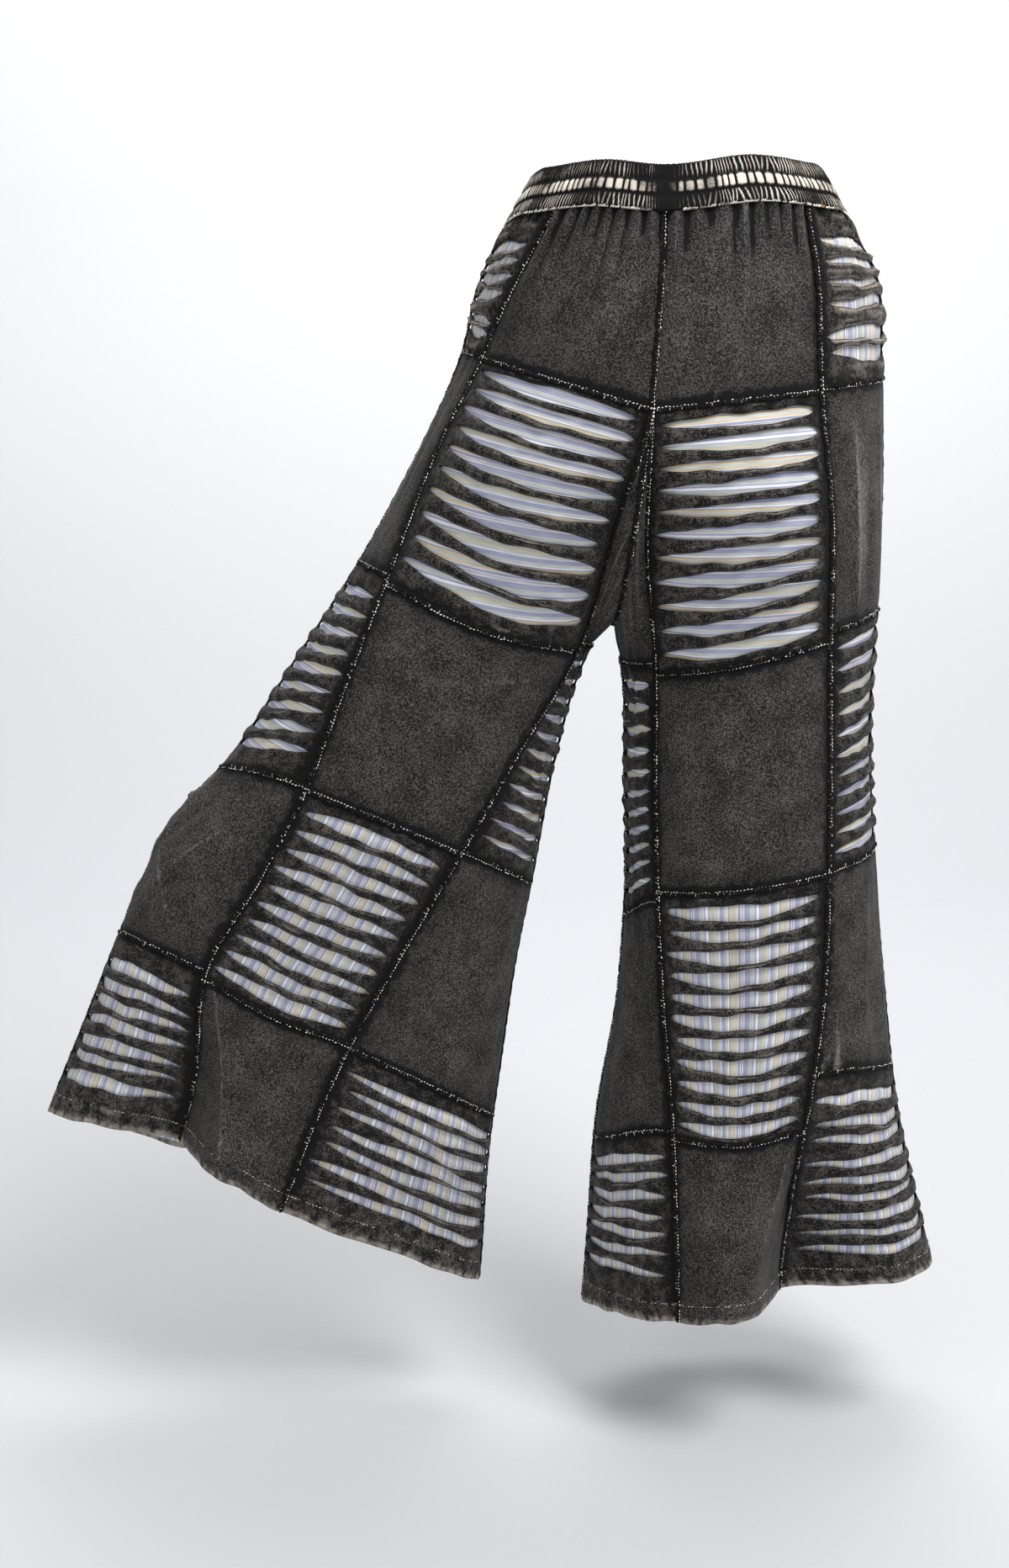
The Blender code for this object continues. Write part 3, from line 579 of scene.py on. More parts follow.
def across_patch(leg, column, row, spacing):
    """Shares across a patch, about spacing millimetres apart, with its length at each, its width,
    and its length at the middle."""
    middle, width = patch_sizes(leg, column, row, np.array([0.5]))
    u = np.linspace(0, 1, int(width / spacing) + 1)
    return (u, *patch_sizes(leg, column, row, u), middle[0])


def sew_in(leg, column, row, u, v, lift, turned, lengths, width):
    """Where a patch of jersey lies, drawn down at its seams and turned up at the hem: its places
    on the leg, its points in metres, and the millimetres to its nearest seam."""
    seam = seam_distance(column, row, u, np.clip(v, 0, 1), width, lengths)
    lift = lift + hem_lift(row, np.minimum(v, 1), lengths) * (turned == 0) + turned
    lift = lift - 0.7 * bell(seam, 4)
    w, s = patch_place(leg, column, row, u, v)
    s = s + hem_wave(row, w, v)
    return w, s, cloth_at(leg, w, s, lift)[0], seam


def dress(node, leg, points, uv, marks, finish, breaks=()):
    """The cloth in place of a node, which is hidden."""
    piece = cloth(f"{node}_cloth", leg, points, uv * MM, marks, finish, breaks)
    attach(piece, "root")
    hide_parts(node)


def plain_patch(leg, column, row):
    u, lengths, width, middle = across_patch(leg, column, row, 3.4)
    rows = [(np.full_like(u, v), 0.0) for v in np.linspace(0, 1, int(middle / 3.8) + 1)]
    if row == "hem":
        rows += [(v + 0 * u, inward) for v, inward in hem_rows(lengths)]
    v = np.stack([place for place, _ in rows])
    turned = np.array([inward for _, inward in rows])[:, None]
    u = np.broadcast_to(u, v.shape)
    w, s, points, seam = sew_in(leg, column, row, u, v, 0.0, turned, lengths, width)
    pulled = gathers(leg, w, s)
    # the ridges of the gathers are made pale, partly as wear and partly as painted highlight
    worn = 0.46 * crease_wear(leg, w, s) + 0.30 * np.clip(pulled - 0.3, 0, 1.4)
    worn = worn + crease_height(leg, w, s, 1.0, STREAKS)
    # the valleys between the gathers are darkened as the seams' edges are: partly dye that they kept,
    # partly painted shade
    seam = np.where(pulled < 0, np.minimum(seam, 2.5 + 12 * np.clip(pulled + 2.1, 0, 2.1)), seam)
    length = float(lengths.mean())
    if row == "hem":
        worn = np.maximum(worn, hem_wear(w, (1 - v) * lengths, 0.6))
        seam = np.where((1 - v) * lengths < HEM, seam + 3, seam)
        length += HEM + 3
    dress(
        f"{leg}_{column}_{row}_plain", leg, points,
        np.stack([u * width, v * lengths], -1), {"seam": seam, "worn": worn}, PLAIN_JERSEY,
    )


for leg in ("right", "left"):
    for column in COLUMNS:
        for row in ROWS:
            if row not in SLASHED[column] and (column != "inseam" or row not in ("hip", "thigh")):
                plain_patch(leg, column, row)


# ---- The crotch gussets: one patch of plain jersey at the inside of each thigh, between the
# crotch seam above and the first closed ring of the leg below.
FORK = {"back": -126, "front": 108, "top": -176, "x": -22, "low_x": -44, "low_y": -4, "low_z": -366}
GUSSET_WIDE, GUSSET_LONG = 330, 150  # along the crotch seam, and down the inside of the thigh


def crotch_curve(share):
    """The crotch seam from the back fork at 0, under the crotch, to the front fork at 1."""
    down = np.maximum(np.sin(math.pi * share), 0.0) ** 0.85
    turn = np.cos(math.pi * share)
    reach = np.where(share < 0.5, -FORK["back"], FORK["front"])
    return np.stack(
        [
            FORK["x"] + (FORK["low_x"] - FORK["x"]) * down,
            FORK["low_y"] * down - reach * np.sign(turn) * np.abs(turn) ** 1.15,
            FORK["top"] + (FORK["low_z"] - FORK["top"]) * down,
        ],
        -1,
    )


def gusset_form(leg, across, down):
    """The gusset at shares from its back end to its front end and from the crotch down."""
    ring = np.full_like(across, 4.0)
    seam = crotch_curve(across) + np.array([0.2 if leg == "right" else -0.2, 0, 0])
    point = seam + (folded_form(leg, 1 - 2 * across, ring) - seam) * down[..., None]
    for share, w, end in ((1 - across, 1.0, 0.0), (across, -1.0, 1.0)):
        places = np.full_like(across, w)
        top = crotch_curve(np.full_like(across, end))
        straight = top + (folded_form(leg, places, ring) - top) * down[..., None]
        share = np.minimum(1.03 * np.clip(share, 0, 1) ** 5, 1.0)[..., None]
        point = point + (folded_form(leg, places, 2 + 2 * down) - straight) * share
    return point


def gusset_at(leg, across, down, lift, step=0.01):
    lower, upper = np.minimum(down + step, 1), np.maximum(down - step, 0)
    ahead, behind = np.minimum(across + step, 1), np.maximum(across - step, 0)
    along = gusset_form(leg, across, lower) - gusset_form(leg, across, upper)
    over = gusset_form(leg, ahead, down) - gusset_form(leg, behind, down)
    out = unit(np.cross(along, over)) * (-1 if leg == "right" else 1)
    flat = np.zeros_like(across)
    under = np.stack([flat, -np.cos(math.pi * across), flat - 0.6], -1)
    blend = ((1 - down) ** 6)[..., None]
    out = unit(out * (1 - blend) + unit(under) * blend)
    return (gusset_form(leg, across, down) + out * lift[..., None]) * MM


for leg, wound in (("right", "left"), ("left", "right")):
    # places run from the back to the front here, so its faces are wound as the other leg's are
    across, down = np.meshgrid(np.linspace(0, 1, 71), np.linspace(0, 1, 46))
    ends = np.minimum(across, 1 - across)
    seam = np.minimum(ends * GUSSET_WIDE, np.minimum(down, 1 - down) * GUSSET_LONG)
    pulls = 1.2 * np.sin(21 * math.pi * across + 2 * down) * np.sin(math.pi * down) ** 0.5
    lift = (pulls - 0.7) * ease(ends / 0.08) - 0.5
    worn = np.clip(pulls, 0, 1) * 0.4 * ease(seam / 14)
    dress(
        f"{leg}_inseam_thigh_plain", wound, gusset_at(leg, across, down, lift),
        np.stack([across * GUSSET_WIDE, down * GUSSET_LONG], -1), {"seam": seam, "worn": worn},
        PLAIN_JERSEY,
    )

# ---- Slashed patches: jersey cut across in rows and left raw. The strips between the cuts curl
# and bulge, the cuts gape and sag, and the washing has fluffed and browned their edges.
# Each has a number of cuts, their opening, the cloth above the first and below the last, and how
# far they sag, in millimetres. The front's are as the back's.
CUTS = {
    ("right", "back", "thigh"): (11, 11.6, 7, 8, 1.5),
    ("right", "back", "calf"): (11, 11.8, 9, 8, 3.0),
    ("right", "side", "hip"): (6, 9.0, 22, 10, 0.0),
    ("right", "side", "knee"): (11, 7.4, 8, 8, 0.0),
    ("right", "side", "hem"): (9, 9.0, 12, 30, 1.0),
    ("right", "inseam", "knee"): (11, 6.8, 9, 12, 0.5),
    ("right", "inseam", "hem"): (7, 9.0, 14, 40, 0.5),
    ("left", "back", "thigh"): (10, 12.6, 4, 17, 2.0),
    ("left", "back", "calf"): (10, 11.4, 11, 8, -1.5),
    ("left", "side", "hip"): (6, 8.0, 20, 10, 0.0),
    ("left", "side", "knee"): (9, 8.6, 14, 22, 2.0),
    ("left", "side", "hem"): (7, 10.6, 20, 34, 1.5),
    ("left", "inseam", "knee"): (11, 6.4, 10, 14, 1.0),
    ("left", "inseam", "hem"): (7, 11.8, 12, 32, 2.5),
}
CUT_MARGIN = 6.5  # left whole beside each seam
STRIP = (0.0, 0.1, 0.22, 0.36, 0.5, 0.64, 0.78, 0.9, 1.0)
CURL = 1.5  # how far a strip's raw edges roll under


def drawn_from(first, leg, column, row):
    """The seeded draw of one patch."""
    order = list(ROWS).index(row) * 8 + list(COLUMNS).index(column) * 2 + (leg == "left")
    return np.random.default_rng(first + order)


def cut_lines(leg, column, row, u, lengths, width):
    """For each cut, its middle and half opening in millimetres down the patch at shares u, and how
    open it is, from 0 in the margins to 1."""
    like = "back" if column == "front" else column
    count, opening, above, below, sag = CUTS[leg, like, row]
    rng = drawn_from(500, leg, column, row)
    halves = 2 if column in ("side", "inseam") else 1
    margin = CUT_MARGIN / width
    pitch = (lengths - above - below) / count
    lines = []
    for j in range(count):
        middle = above + pitch * (j + 0.5)
        half, gape = np.zeros_like(u), np.zeros_like(u)
        for part in range(halves):
            first = part / halves + (margin if part == 0 else margin / 2)
            last = (part + 1) / halves - (margin if part == halves - 1 else margin / 2)
            first += rng.uniform(0, 0.035) / halves
            last -= rng.uniform(0, 0.035) / halves
            t = np.clip((u - first) / (last - first), 0, 1)
            # one end of a cut is drawn out to a point, and the other is blunt
            drawn = rng.uniform(1.25, 1.6) if row == "thigh" else rng.uniform(0.85, 1.2)
            far = 1 - t if leg == "right" else t
            far = 1 - (1 - far) ** drawn if drawn < 1 else far ** (1 / drawn)
            shape = np.maximum(np.sin(math.pi * far), 0.0) ** 0.52
            wide = opening * rng.uniform(0.92, 1.22)
            if row in ("hip", "hem"):
                # these are torn more than cut, so they slope and differ
                least, slope = (0.55, 5) if row == "hip" else (0.85, 2.5)
                wide *= rng.uniform(least, 1.15)
                middle = middle + rng.uniform(-slope, slope) * (t - 0.5) + 1.1 * np.sin(9 * t + 2 * j)
            # a strip always stays between two cuts
            wide = min(wide, 0.72 * float(pitch.mean()))
            rough = 1 + 0.06 * np.sin(9 * t + rng.uniform(0, 6))
            rough += 0.05 * np.sin(23 * t + rng.uniform(0, 6))
            half += wide / 2 * shape * rough
            gape += shape
            bend = rng.uniform(-0.8, 0.8) * np.sin(2 * math.pi * t) + 0.5 * np.sin(13 * t + j)
            bend += rng.uniform(0.2, 0.7) * np.sin(25 * t + rng.uniform(0, 6))
            middle = middle + (sag + bend) * np.sin(math.pi * t) * (shape > 0)
        lines.append((middle, half, gape))
    return lines


def strip_rows(top, end, top_gape, end_gape, along, at_edge, rise, rng):
    """One strip of jersey between two cuts, in rows of (millimetres down the patch, how far it
    stands out, millimetres to a raw edge, how pale a wrinkle is made: partly wear, partly painted
    highlight). It arches out, and its raw edges roll under."""
    droop_top, droop_end = rng.uniform(0.4, 1.4), rng.uniform(0.6, 1.6)
    a, b, c = rng.uniform(0, 6, 3)
    size = end - top
    shares = np.linspace(0, 1, max(6, int(size.mean() / 3)) + 1) if at_edge else STRIP
    rows = []
    for share in shares:
        arch = math.sin(math.pi * share) ** 0.7 * np.maximum(top_gape, end_gape)
        crumple = np.sin(along / 2.3 + 2.5 * share + a) * np.sin(along / 8 + b)
        crumple = 0.45 * crumple + 0.5 * np.sin(along / 5.1 - 2 * share + c)
        # two wrinkles wander along each strip, and their ridges are made pale, partly rubbed by the wash
        # and partly as painted highlight
        wrinkle_wear_and_highlight = bell(share - 0.36 - 0.17 * np.sin(along / 23 + b), 0.11)
        wrinkle_wear_and_highlight += 0.7 * bell(share - 0.72 - 0.13 * np.sin(along / 15 + c), 0.1)
        lift = (rise + crumple + 0.9 * wrinkle_wear_and_highlight) * arch * (0.3 if at_edge else 1.0)
        lift = lift - droop_top * top_gape * (1 - share) ** 4 - droop_end * end_gape * share**4
        away = np.minimum(
            share * size + 20 * (1 - np.minimum(top_gape * 3, 1)),
            (1 - share) * size + 20 * (1 - np.minimum(end_gape * 3, 1)),
        )
        rows.append((top + size * share, lift, away, wrinkle_wear_and_highlight * arch * (0.6 + 0.4 * np.sin(along / 6.5 + a))))
    first, last = rows[0], rows[-1]
    rows.insert(0, (first[0] + CURL * top_gape, first[1] - 1.1 * top_gape, *first[2:]))
    rows.append((last[0] - CURL * end_gape, last[1] - 1.1 * end_gape, *last[2:]))
    return rows


def slashed_patch(leg, column, row):
    u, lengths, width, _ = across_patch(leg, column, row, 2.6)
    lines = cut_lines(leg, column, row, u, lengths, width)
    rng = drawn_from(900, leg, column, row)
    nothing = np.zeros_like(u)
    tops = [(nothing, nothing)] + [(middle + half, gape) for middle, half, gape in lines]
    ends = [(middle - half, gape) for middle, half, gape in lines] + [(lengths, nothing)]
    rows, breaks = [], []
    for k, ((top, top_gape), (end, end_gape)) in enumerate(zip(tops, ends)):
        rise = rng.uniform(1.7, 3.0) * (1.5 if row == "hip" else 1.0)
        at_edge = k in (0, len(lines))
        rows += strip_rows(top, end, top_gape, end_gape, u * width, at_edge, rise, rng)
        breaks.append(len(rows) - 1)
    turned = [0.0] * len(rows)
    if row == "hem":
        for place, inward in hem_rows(lengths):
            rows.append((place * lengths, nothing, nothing + 20, nothing))
            turned.append(inward)
    down, lift, cut, wrinkle_wear_and_highlight = (np.stack(values) for values in zip(*rows))
    v = down / lengths
    u = np.broadcast_to(u, v.shape)
    turned = np.array(turned)[:, None]
    w, _, points, seam = sew_in(leg, column, row, u, v, lift, turned, lengths, width)
    # the raw edges are browned, and the strips' wrinkles are made pale, partly as wear and partly as
    # painted highlight
    worn = 0.36 * bell(cut - 1.2, 0.8) + 0.05 + 0.46 * wrinkle_wear_and_highlight
    opened = sum(2 * half.mean() for _, half, _ in lines)
    length = float(lengths.mean()) - opened + 2 * CURL * len(lines)
    if row == "hem":
        worn = np.maximum(worn, hem_wear(w, (1 - v) * lengths, 0.8))
        seam = np.where((1 - v) * lengths < HEM, seam + 4, seam)
        length += HEM + 3
    if row == "hip":
        worn = worn * 1.2 + 0.22
    dress(
        f"{leg}_{column}_{row}_slashed", leg, points,
        np.stack([u * width, v * lengths], -1), {"seam": seam, "worn": worn}, SLASHED_JERSEY,
        breaks=breaks[:-1],
    )


# ---- The lining behind the cuts: thin cotton with woven stripes on a repeat of 41 mm, sewn in at
# the seams of its patch. It puffs out a little in each cut. Stripes lie along the cuts on some
# patches and across them on others.
STRIPES = (
    (0.0, "#e2ca9e"), (1.6, "#cccfca"), (4.8, "#e2ca9e"), (6.2, "#e9eaef"), (7.0, "#a9adc6"),
    (9.0, "#e9eaef"), (9.9, "#a38b97"), (10.4, "#d2d4de"), (12.4, "#a38b97"), (12.9, "#a9adc6"),
    (16.4, "#cccfca"), (19.4, "#d4d6de"), (20.2, "#a9adc6"), (21.6, "#f1f2f5"), (23.8, "#a9adc6"),
    (24.8, "#bfc4c0"), (28.2, "#e0c79a"), (29.3, "#cccfca"), (32.0, "#e3e5ea"), (33.0, "#a9adc6"),
    (36.2, "#cbcecd"), (38.6, "#f1f2f5"), (39.8, "#a9adc6"),
)
REPEAT = 41.0
LINING_DEPTH = 3.3
ALONG_CUTS = (("back", "thigh"), ("front", "thigh"), ("side", "knee"), ("inseam", "knee"))

striped_cotton, tree, shader = new_finish("cotton with woven stripes")
cut_map = add(tree, "ShaderNodeUVMap", uv_map="cut").outputs[0]
across = add(tree, "ShaderNodeSeparateXYZ", {0: cut_map}).outputs[0]
turns = add(tree, "ShaderNodeMath", {0: across, 1: 1000 / REPEAT}, operation="MULTIPLY").outputs[0]
share = add(tree, "ShaderNodeMath", {0: turns}, operation="FRACT").outputs[0]
woven = add(tree, "ShaderNodeValToRGB", {"Fac": share})
colour_stops(woven, [(place / REPEAT, text) for place, text in STRIPES], "CONSTANT")
# threads of about 0.4 mm, drawn at 0.9 mm across the stripes and in slubs of 17 mm along them
stretched = add(
    tree, "ShaderNodeMapping", {"Vector": cut_map, "Scale": (1100.0, 60.0, 1.0)}
).outputs[0]
slub = add(
    tree, "ShaderNodeTexNoise", {"Vector": stretched, "Scale": 1.0, "Detail": 2.0}
).outputs["Fac"]
thread = add(
    tree, "ShaderNodeMapRange",
    {"Value": slub, "From Min": 0.34, "From Max": 0.66, "To Min": 0.90, "To Max": 1.13},
).outputs[0]
toned = add(
    tree, "ShaderNodeVectorMath", {0: woven.outputs[0], "Scale": thread}, operation="SCALE"
).outputs[0]
bump = add(tree, "ShaderNodeBump", {"Strength": 0.3, "Distance": 0.0003, "Height": slub})
wire(tree, shader, {
    "Base Color": toned, "Normal": bump.outputs[0], "Roughness": 0.88, "Specular IOR Level": 0.25,
})


def lining_patch(leg, column, row):
    u, lengths, width, _ = across_patch(leg, column, row, 3.5)
    lines = cut_lines(leg, column, row, u, lengths, width)
    # at the hem it ends 5 mm above the fold
    last = 1 - 5 / lengths if row == "hem" else np.ones_like(u)
    v = np.linspace(0, 1, int(lengths.mean() / 2.5) + 1)[:, None] * last
    u = np.broadcast_to(u, v.shape)
    down = v * lengths
    lift = np.full_like(v, -LINING_DEPTH)
    pitch = float((lines[1][0] - lines[0][0]).mean())
    for middle, _, gape in lines:
        lift = lift + 1.1 * np.minimum(gape, 1) * bell(down - middle, 0.36 * pitch)
    seam = seam_distance(column, row, u, v, width, lengths)
    lift = lift + 1.6 * bell(seam, 3)
    w, s = patch_place(leg, column, row, u, v)
    # each patch was cut from its own place in the stripes
    start = 11.0 * (
        list(ROWS).index(row) * 7 + list(COLUMNS).index(column) * 3 + 5 * (leg == "left")
    )
    flat = np.stack([u * width, down], -1)
    if (column, row) in ALONG_CUTS:
        flat = flat[..., ::-1]
    dress(
        f"{leg}_{column}_{row}_lining", leg, cloth_at(leg, w, s, lift)[0],
        flat + np.array([start, 0.0]), {"seam": seam}, striped_cotton,
    )


for leg in ("right", "left"):
    for column in COLUMNS:
        for row in SLASHED[column]:
            slashed_patch(leg, column, row)
            lining_patch(leg, column, row)

# ---- The seams: all are overlocked on the outside, so a ridge of two raw edges, about 4 mm wide,
# lies along each, wrapped in black thread with ivory loops that show as flecks.
def spaced(first, last, size):
    """Places along a seam about 3 mm apart, where one place is size millimetres."""
    return np.linspace(first, last, max(3, int(abs(last - first) * size / 3)))


def leg_seams(leg):
    """(points, outward directions, which side its flecks are on) for each seam of a leg."""
    runs = []
    for w, first in ((0, 4), (1, 2), (2, 0), (3, 0), (4, 0), (5, 2)):
        s = spaced(first, 10, 92)
        places = np.full_like(s, w)
        runs.append((*cloth_at(leg, places, hem_drawn(leg, places, s), 0.0), 1))
    for column, (start, end) in COLUMNS.items():
        for below, (section, _) in ROWS.items():
            if section == 0 or column == "inseam" and section == 2:
                continue
            u = spaced(0, 1, (end - start) * COLUMN_WIDE)
            w = start + (end - start) * u
            # the ridge lies over the slashed patch, so its line is moved into it
            up = 1 if below in SLASHED[column] else -1
            s = row_line(leg, column, section, u) + 0.022 * up
            side = up if leg == "right" else -up
            runs.append((*cloth_at(leg, w, hem_drawn(leg, w, s), 0.0), side))
    return runs


def ridge_mesh(name, runs, half, height, finish):
    """A soft flattened ridge along each run."""
    profile = ((-1.0, -0.5), (-0.92, 0.45), (-0.45, 0.95), (0.2, 1.0), (0.8, 0.7), (1.0, -0.5))
    x, y = np.array(profile).T
    rng = np.random.default_rng(77)
    points, faces, uvs = [], [], []
    count = 0
    for line, out, _ in runs:
        aside = unit(np.cross(out, unit(np.gradient(line, axis=0))))
        far = np.concatenate([[0], np.cumsum(np.linalg.norm(np.diff(line, axis=0), axis=1))])
        far = far[:, None]
        a, b, c = rng.uniform(0, 6, 3)
        wander = 0.0005 * np.sin(far * 210 + a) + 0.0004 * np.sin(far * 560 + b)
        swell = 1 + 0.18 * np.sin(far * 420 + c) + 0.12 * np.sin(far * 1050 + a)
        fade = np.clip(np.minimum(far, far[-1] - far) / 0.003, 0.25, 1)
        over = wander + x * half * fade
        up = y * height * swell * np.where(y > 0, fade, 1.0)
        points.append(line[:, None] + aside[:, None] * over[..., None] + out[:, None] * up[..., None])
        uvs.append(np.stack(np.broadcast_arrays(far, x * half), -1))
        index = count + np.arange(over.size).reshape(over.shape)
        count += over.size
        faces.append(np.stack([index[:-1, 1:], index[1:, 1:], index[1:, :-1], index[:-1, :-1]], -1))
    mesh = bpy.data.meshes.new(name)
    points, faces, uvs = (
        np.concatenate([part.reshape(-1, part.shape[-1]) for part in parts])
        for parts in (points, faces, uvs)
    )
    mesh.from_pydata(points, [], faces.tolist())
    lay_flat(mesh, uvs)
    mesh.shade_smooth()
    mesh.materials.append(finish)
    return put(name, mesh)


overlock, tree, shader = new_finish("overlocked edge, black and ivory thread")
cut_map = add(tree, "ShaderNodeUVMap", uv_map="cut").outputs[0]
# loops of thread every 2 mm along the edge, broken where the wash has darkened them
loops = add(
    tree, "ShaderNodeTexWave",
    {"Vector": cut_map, "Scale": 160.0, "Distortion": 3.0, "Detail": 2.0, "Detail Scale": 2.0},
).outputs["Fac"]
place = add(tree, "ShaderNodeTexCoord").outputs["Object"]
broken = add(
    tree, "ShaderNodeTexNoise", {"Vector": place, "Scale": 300.0, "Detail": 2.0}
).outputs["Fac"]
fleck = add(tree, "ShaderNodeMath", {0: loops, 1: broken}, operation="MULTIPLY").outputs[0]
threads = add(tree, "ShaderNodeValToRGB", {"Fac": fleck})
colour_stops(threads, [(0.34, "#09090b"), (0.56, "#151414"), (0.68, "#6e675d")])
bump = add(tree, "ShaderNodeBump", {"Strength": 0.8, "Distance": 0.0008, "Height": loops})
wire(tree, shader, {
    "Base Color": threads.outputs[0], "Normal": bump.outputs[0], "Roughness": 0.9,
    "Specular IOR Level": 0.2,
})

# Thread that shows as stitches: mostly ivory, some greyed, and a few ends of other colours
ivory_thread, tree, shader = new_finish("spun polyester thread, ivory")
place = add(tree, "ShaderNodeTexCoord").outputs["Object"]
cells = add(tree, "ShaderNodeTexNoise", {"Vector": place, "Scale": 90.0, "Detail": 1.0})
tints = add(tree, "ShaderNodeValToRGB", {"Fac": cells.outputs["Fac"]})
colour_stops(
    tints,
    [(0.0, "#4d4842"), (0.36, "#8d877c"), (0.44, "#d3cdbf"), (0.56, "#efeadf"), (0.73, "#bb8a45")],
    "CONSTANT",
)
wire(tree, shader, {"Base Color": tints.outputs[0], "Roughness": 0.7})

# The stitch tree: points along a line, some left out, each a short bead of thread laid at a slant
stitches = bpy.data.node_groups.new("stitches along a seam", "GeometryNodeTree")
stitches.interface.new_socket("Seams", in_out="INPUT", socket_type="NodeSocketGeometry")
for label, value in (
    ("Pitch", 0.003), ("Length", 0.0022), ("Width", 0.0007), ("Aside", 0.0), ("Above", 0.001),
    ("Slant", 0.0), ("Kept", 0.8), ("Wander", 0.0005),
):
    socket = stitches.interface.new_socket(label, in_out="INPUT", socket_type="NodeSocketFloat")
    socket.default_value = value
seed = stitches.interface.new_socket("Seed", in_out="INPUT", socket_type="NodeSocketInt")
stitches.interface.new_socket("Geometry", in_out="OUTPUT", socket_type="NodeSocketGeometry")
given = add(stitches, "NodeGroupInput").outputs
line = add(stitches, "GeometryNodeMeshToCurve", {"Mesh": given["Seams"]}).outputs[0]
beads = add(
    stitches, "GeometryNodeCurveToPoints", {"Curve": line, "Length": given["Pitch"]}, mode="LENGTH"
).outputs
out, side = (
    add(stitches, "GeometryNodeInputNamedAttribute", {"Name": name}, data_type=kind).outputs[0]
    for name, kind in (("out", "FLOAT_VECTOR"), ("side", "FLOAT"))
)
drift, lean, vary = (
    add(
        stitches, "FunctionNodeRandomValue", {2: low, 3: high, "Seed": given["Seed"]},
        data_type="FLOAT",
    ).outputs[1]
    for low, high in ((-1.0, 1.0), (-0.35, 0.35), (0.7, 1.25))
)
kept = add(
    stitches, "FunctionNodeRandomValue", {"Probability": given["Kept"], "Seed": given["Seed"]},
    data_type="BOOLEAN",
).outputs[3]
# each bead is moved off the line and up, and wanders
aside = add(
    stitches, "ShaderNodeVectorMath", {0: out, 1: beads["Tangent"]}, operation="CROSS_PRODUCT"
).outputs[0]
offset = add(stitches, "ShaderNodeMath", {0: given["Aside"], 1: side}, operation="MULTIPLY").outputs[0]
offset = add(
    stitches, "ShaderNodeMath", {0: drift, 1: given["Wander"], 2: offset}, operation="MULTIPLY_ADD"
).outputs[0]
slant = add(stitches, "ShaderNodeMath", {0: lean, 1: given["Slant"]}, operation="ADD").outputs[0]
size = add(
    stitches, "ShaderNodeCombineXYZ", {0: given["Length"], 1: given["Width"], 2: given["Width"]}
).outputs[0]
sideways, upward, leaning, sized = (
    add(stitches, "ShaderNodeVectorMath", {0: vector, "Scale": scale}, operation="SCALE").outputs[0]
    for vector, scale in ((aside, offset), (out, given["Above"]), (aside, slant), (size, vary))
)
moved, heading = (
    add(stitches, "ShaderNodeVectorMath", {0: first, 1: second}, operation="ADD").outputs[0]
    for first, second in ((sideways, upward), (beads["Tangent"], leaning))
)
laid = add(
    stitches, "GeometryNodeSetPosition", {"Geometry": beads["Points"], "Offset": moved}
).outputs[0]
turned = add(
    stitches, "FunctionNodeAxesToRotation", {"Primary Axis": out, "Secondary Axis": heading},
    primary_axis="Z", secondary_axis="X",
).outputs[0]
bead = add(stitches, "GeometryNodeMeshUVSphere", {"Segments": 6, "Rings": 4, "Radius": 0.5})
sewn = add(stitches, "GeometryNodeInstanceOnPoints", {
    "Points": laid, "Selection": kept, "Instance": bead.outputs["Mesh"], "Rotation": turned,
    "Scale": sized,
}).outputs[0]
real = add(stitches, "GeometryNodeRealizeInstances", {0: sewn}).outputs[0]
soft = add(stitches, "GeometryNodeSetShadeSmooth", {0: real}).outputs[0]
threaded = add(stitches, "GeometryNodeSetMaterial", {"Geometry": soft, "Material": ivory_thread})
add(stitches, "NodeGroupOutput", {"Geometry": threaded.outputs[0]})


def sew(name, runs, seed, slot, **sizes):
    """Stitches along the runs, made a plain mesh."""
    points, edges, outs, sides = [], [], [], []
    for line, out, side in runs:
        edges += [(len(points) + i, len(points) + i + 1) for i in range(len(line) - 1)]
        points += list(line)
        outs += list(out)
        sides += [side] * len(line)
    mesh = bpy.data.meshes.new(name + " line")
    mesh.from_pydata(points, edges, [])
    mark(mesh, "out", outs, "FLOAT_VECTOR")
    mark(mesh, "side", sides)
    guide = put(name + " line", mesh)
    sewing = guide.modifiers.new("stitches", "NODES")
    sewing.node_group = stitches
    sizes["Seed"] = seed
    for item in stitches.interface.items_tree:
        if item.in_out == "INPUT" and item.name in sizes:
            sewing[item.identifier] = sizes[item.name]
    guide.update_tag()
    evaluated = guide.evaluated_get(bpy.context.evaluated_depsgraph_get())
    made = bpy.data.meshes.new_from_object(evaluated)
    made.name = name
    piece = put(name, made)
    bpy.data.objects.remove(guide)
    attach(piece, "root")


seams = {leg: leg_seams(leg) for leg in ("right", "left")}
# the two centre seams and the crotch seam are sewn with the right leg
centre = spaced(0, 2, 92)
for w in (1, 5):
    seams["right"].append((*cloth_at("right", np.full_like(centre, w), centre, 0.0), 1))
share = np.linspace(0, 1, 120)
crotch_out = unit(np.stack([share * 0, -np.cos(math.pi * share), -0.2 - np.sin(math.pi * share)], -1))
seams["right"].append((crotch_curve(share) * MM, crotch_out, 1))

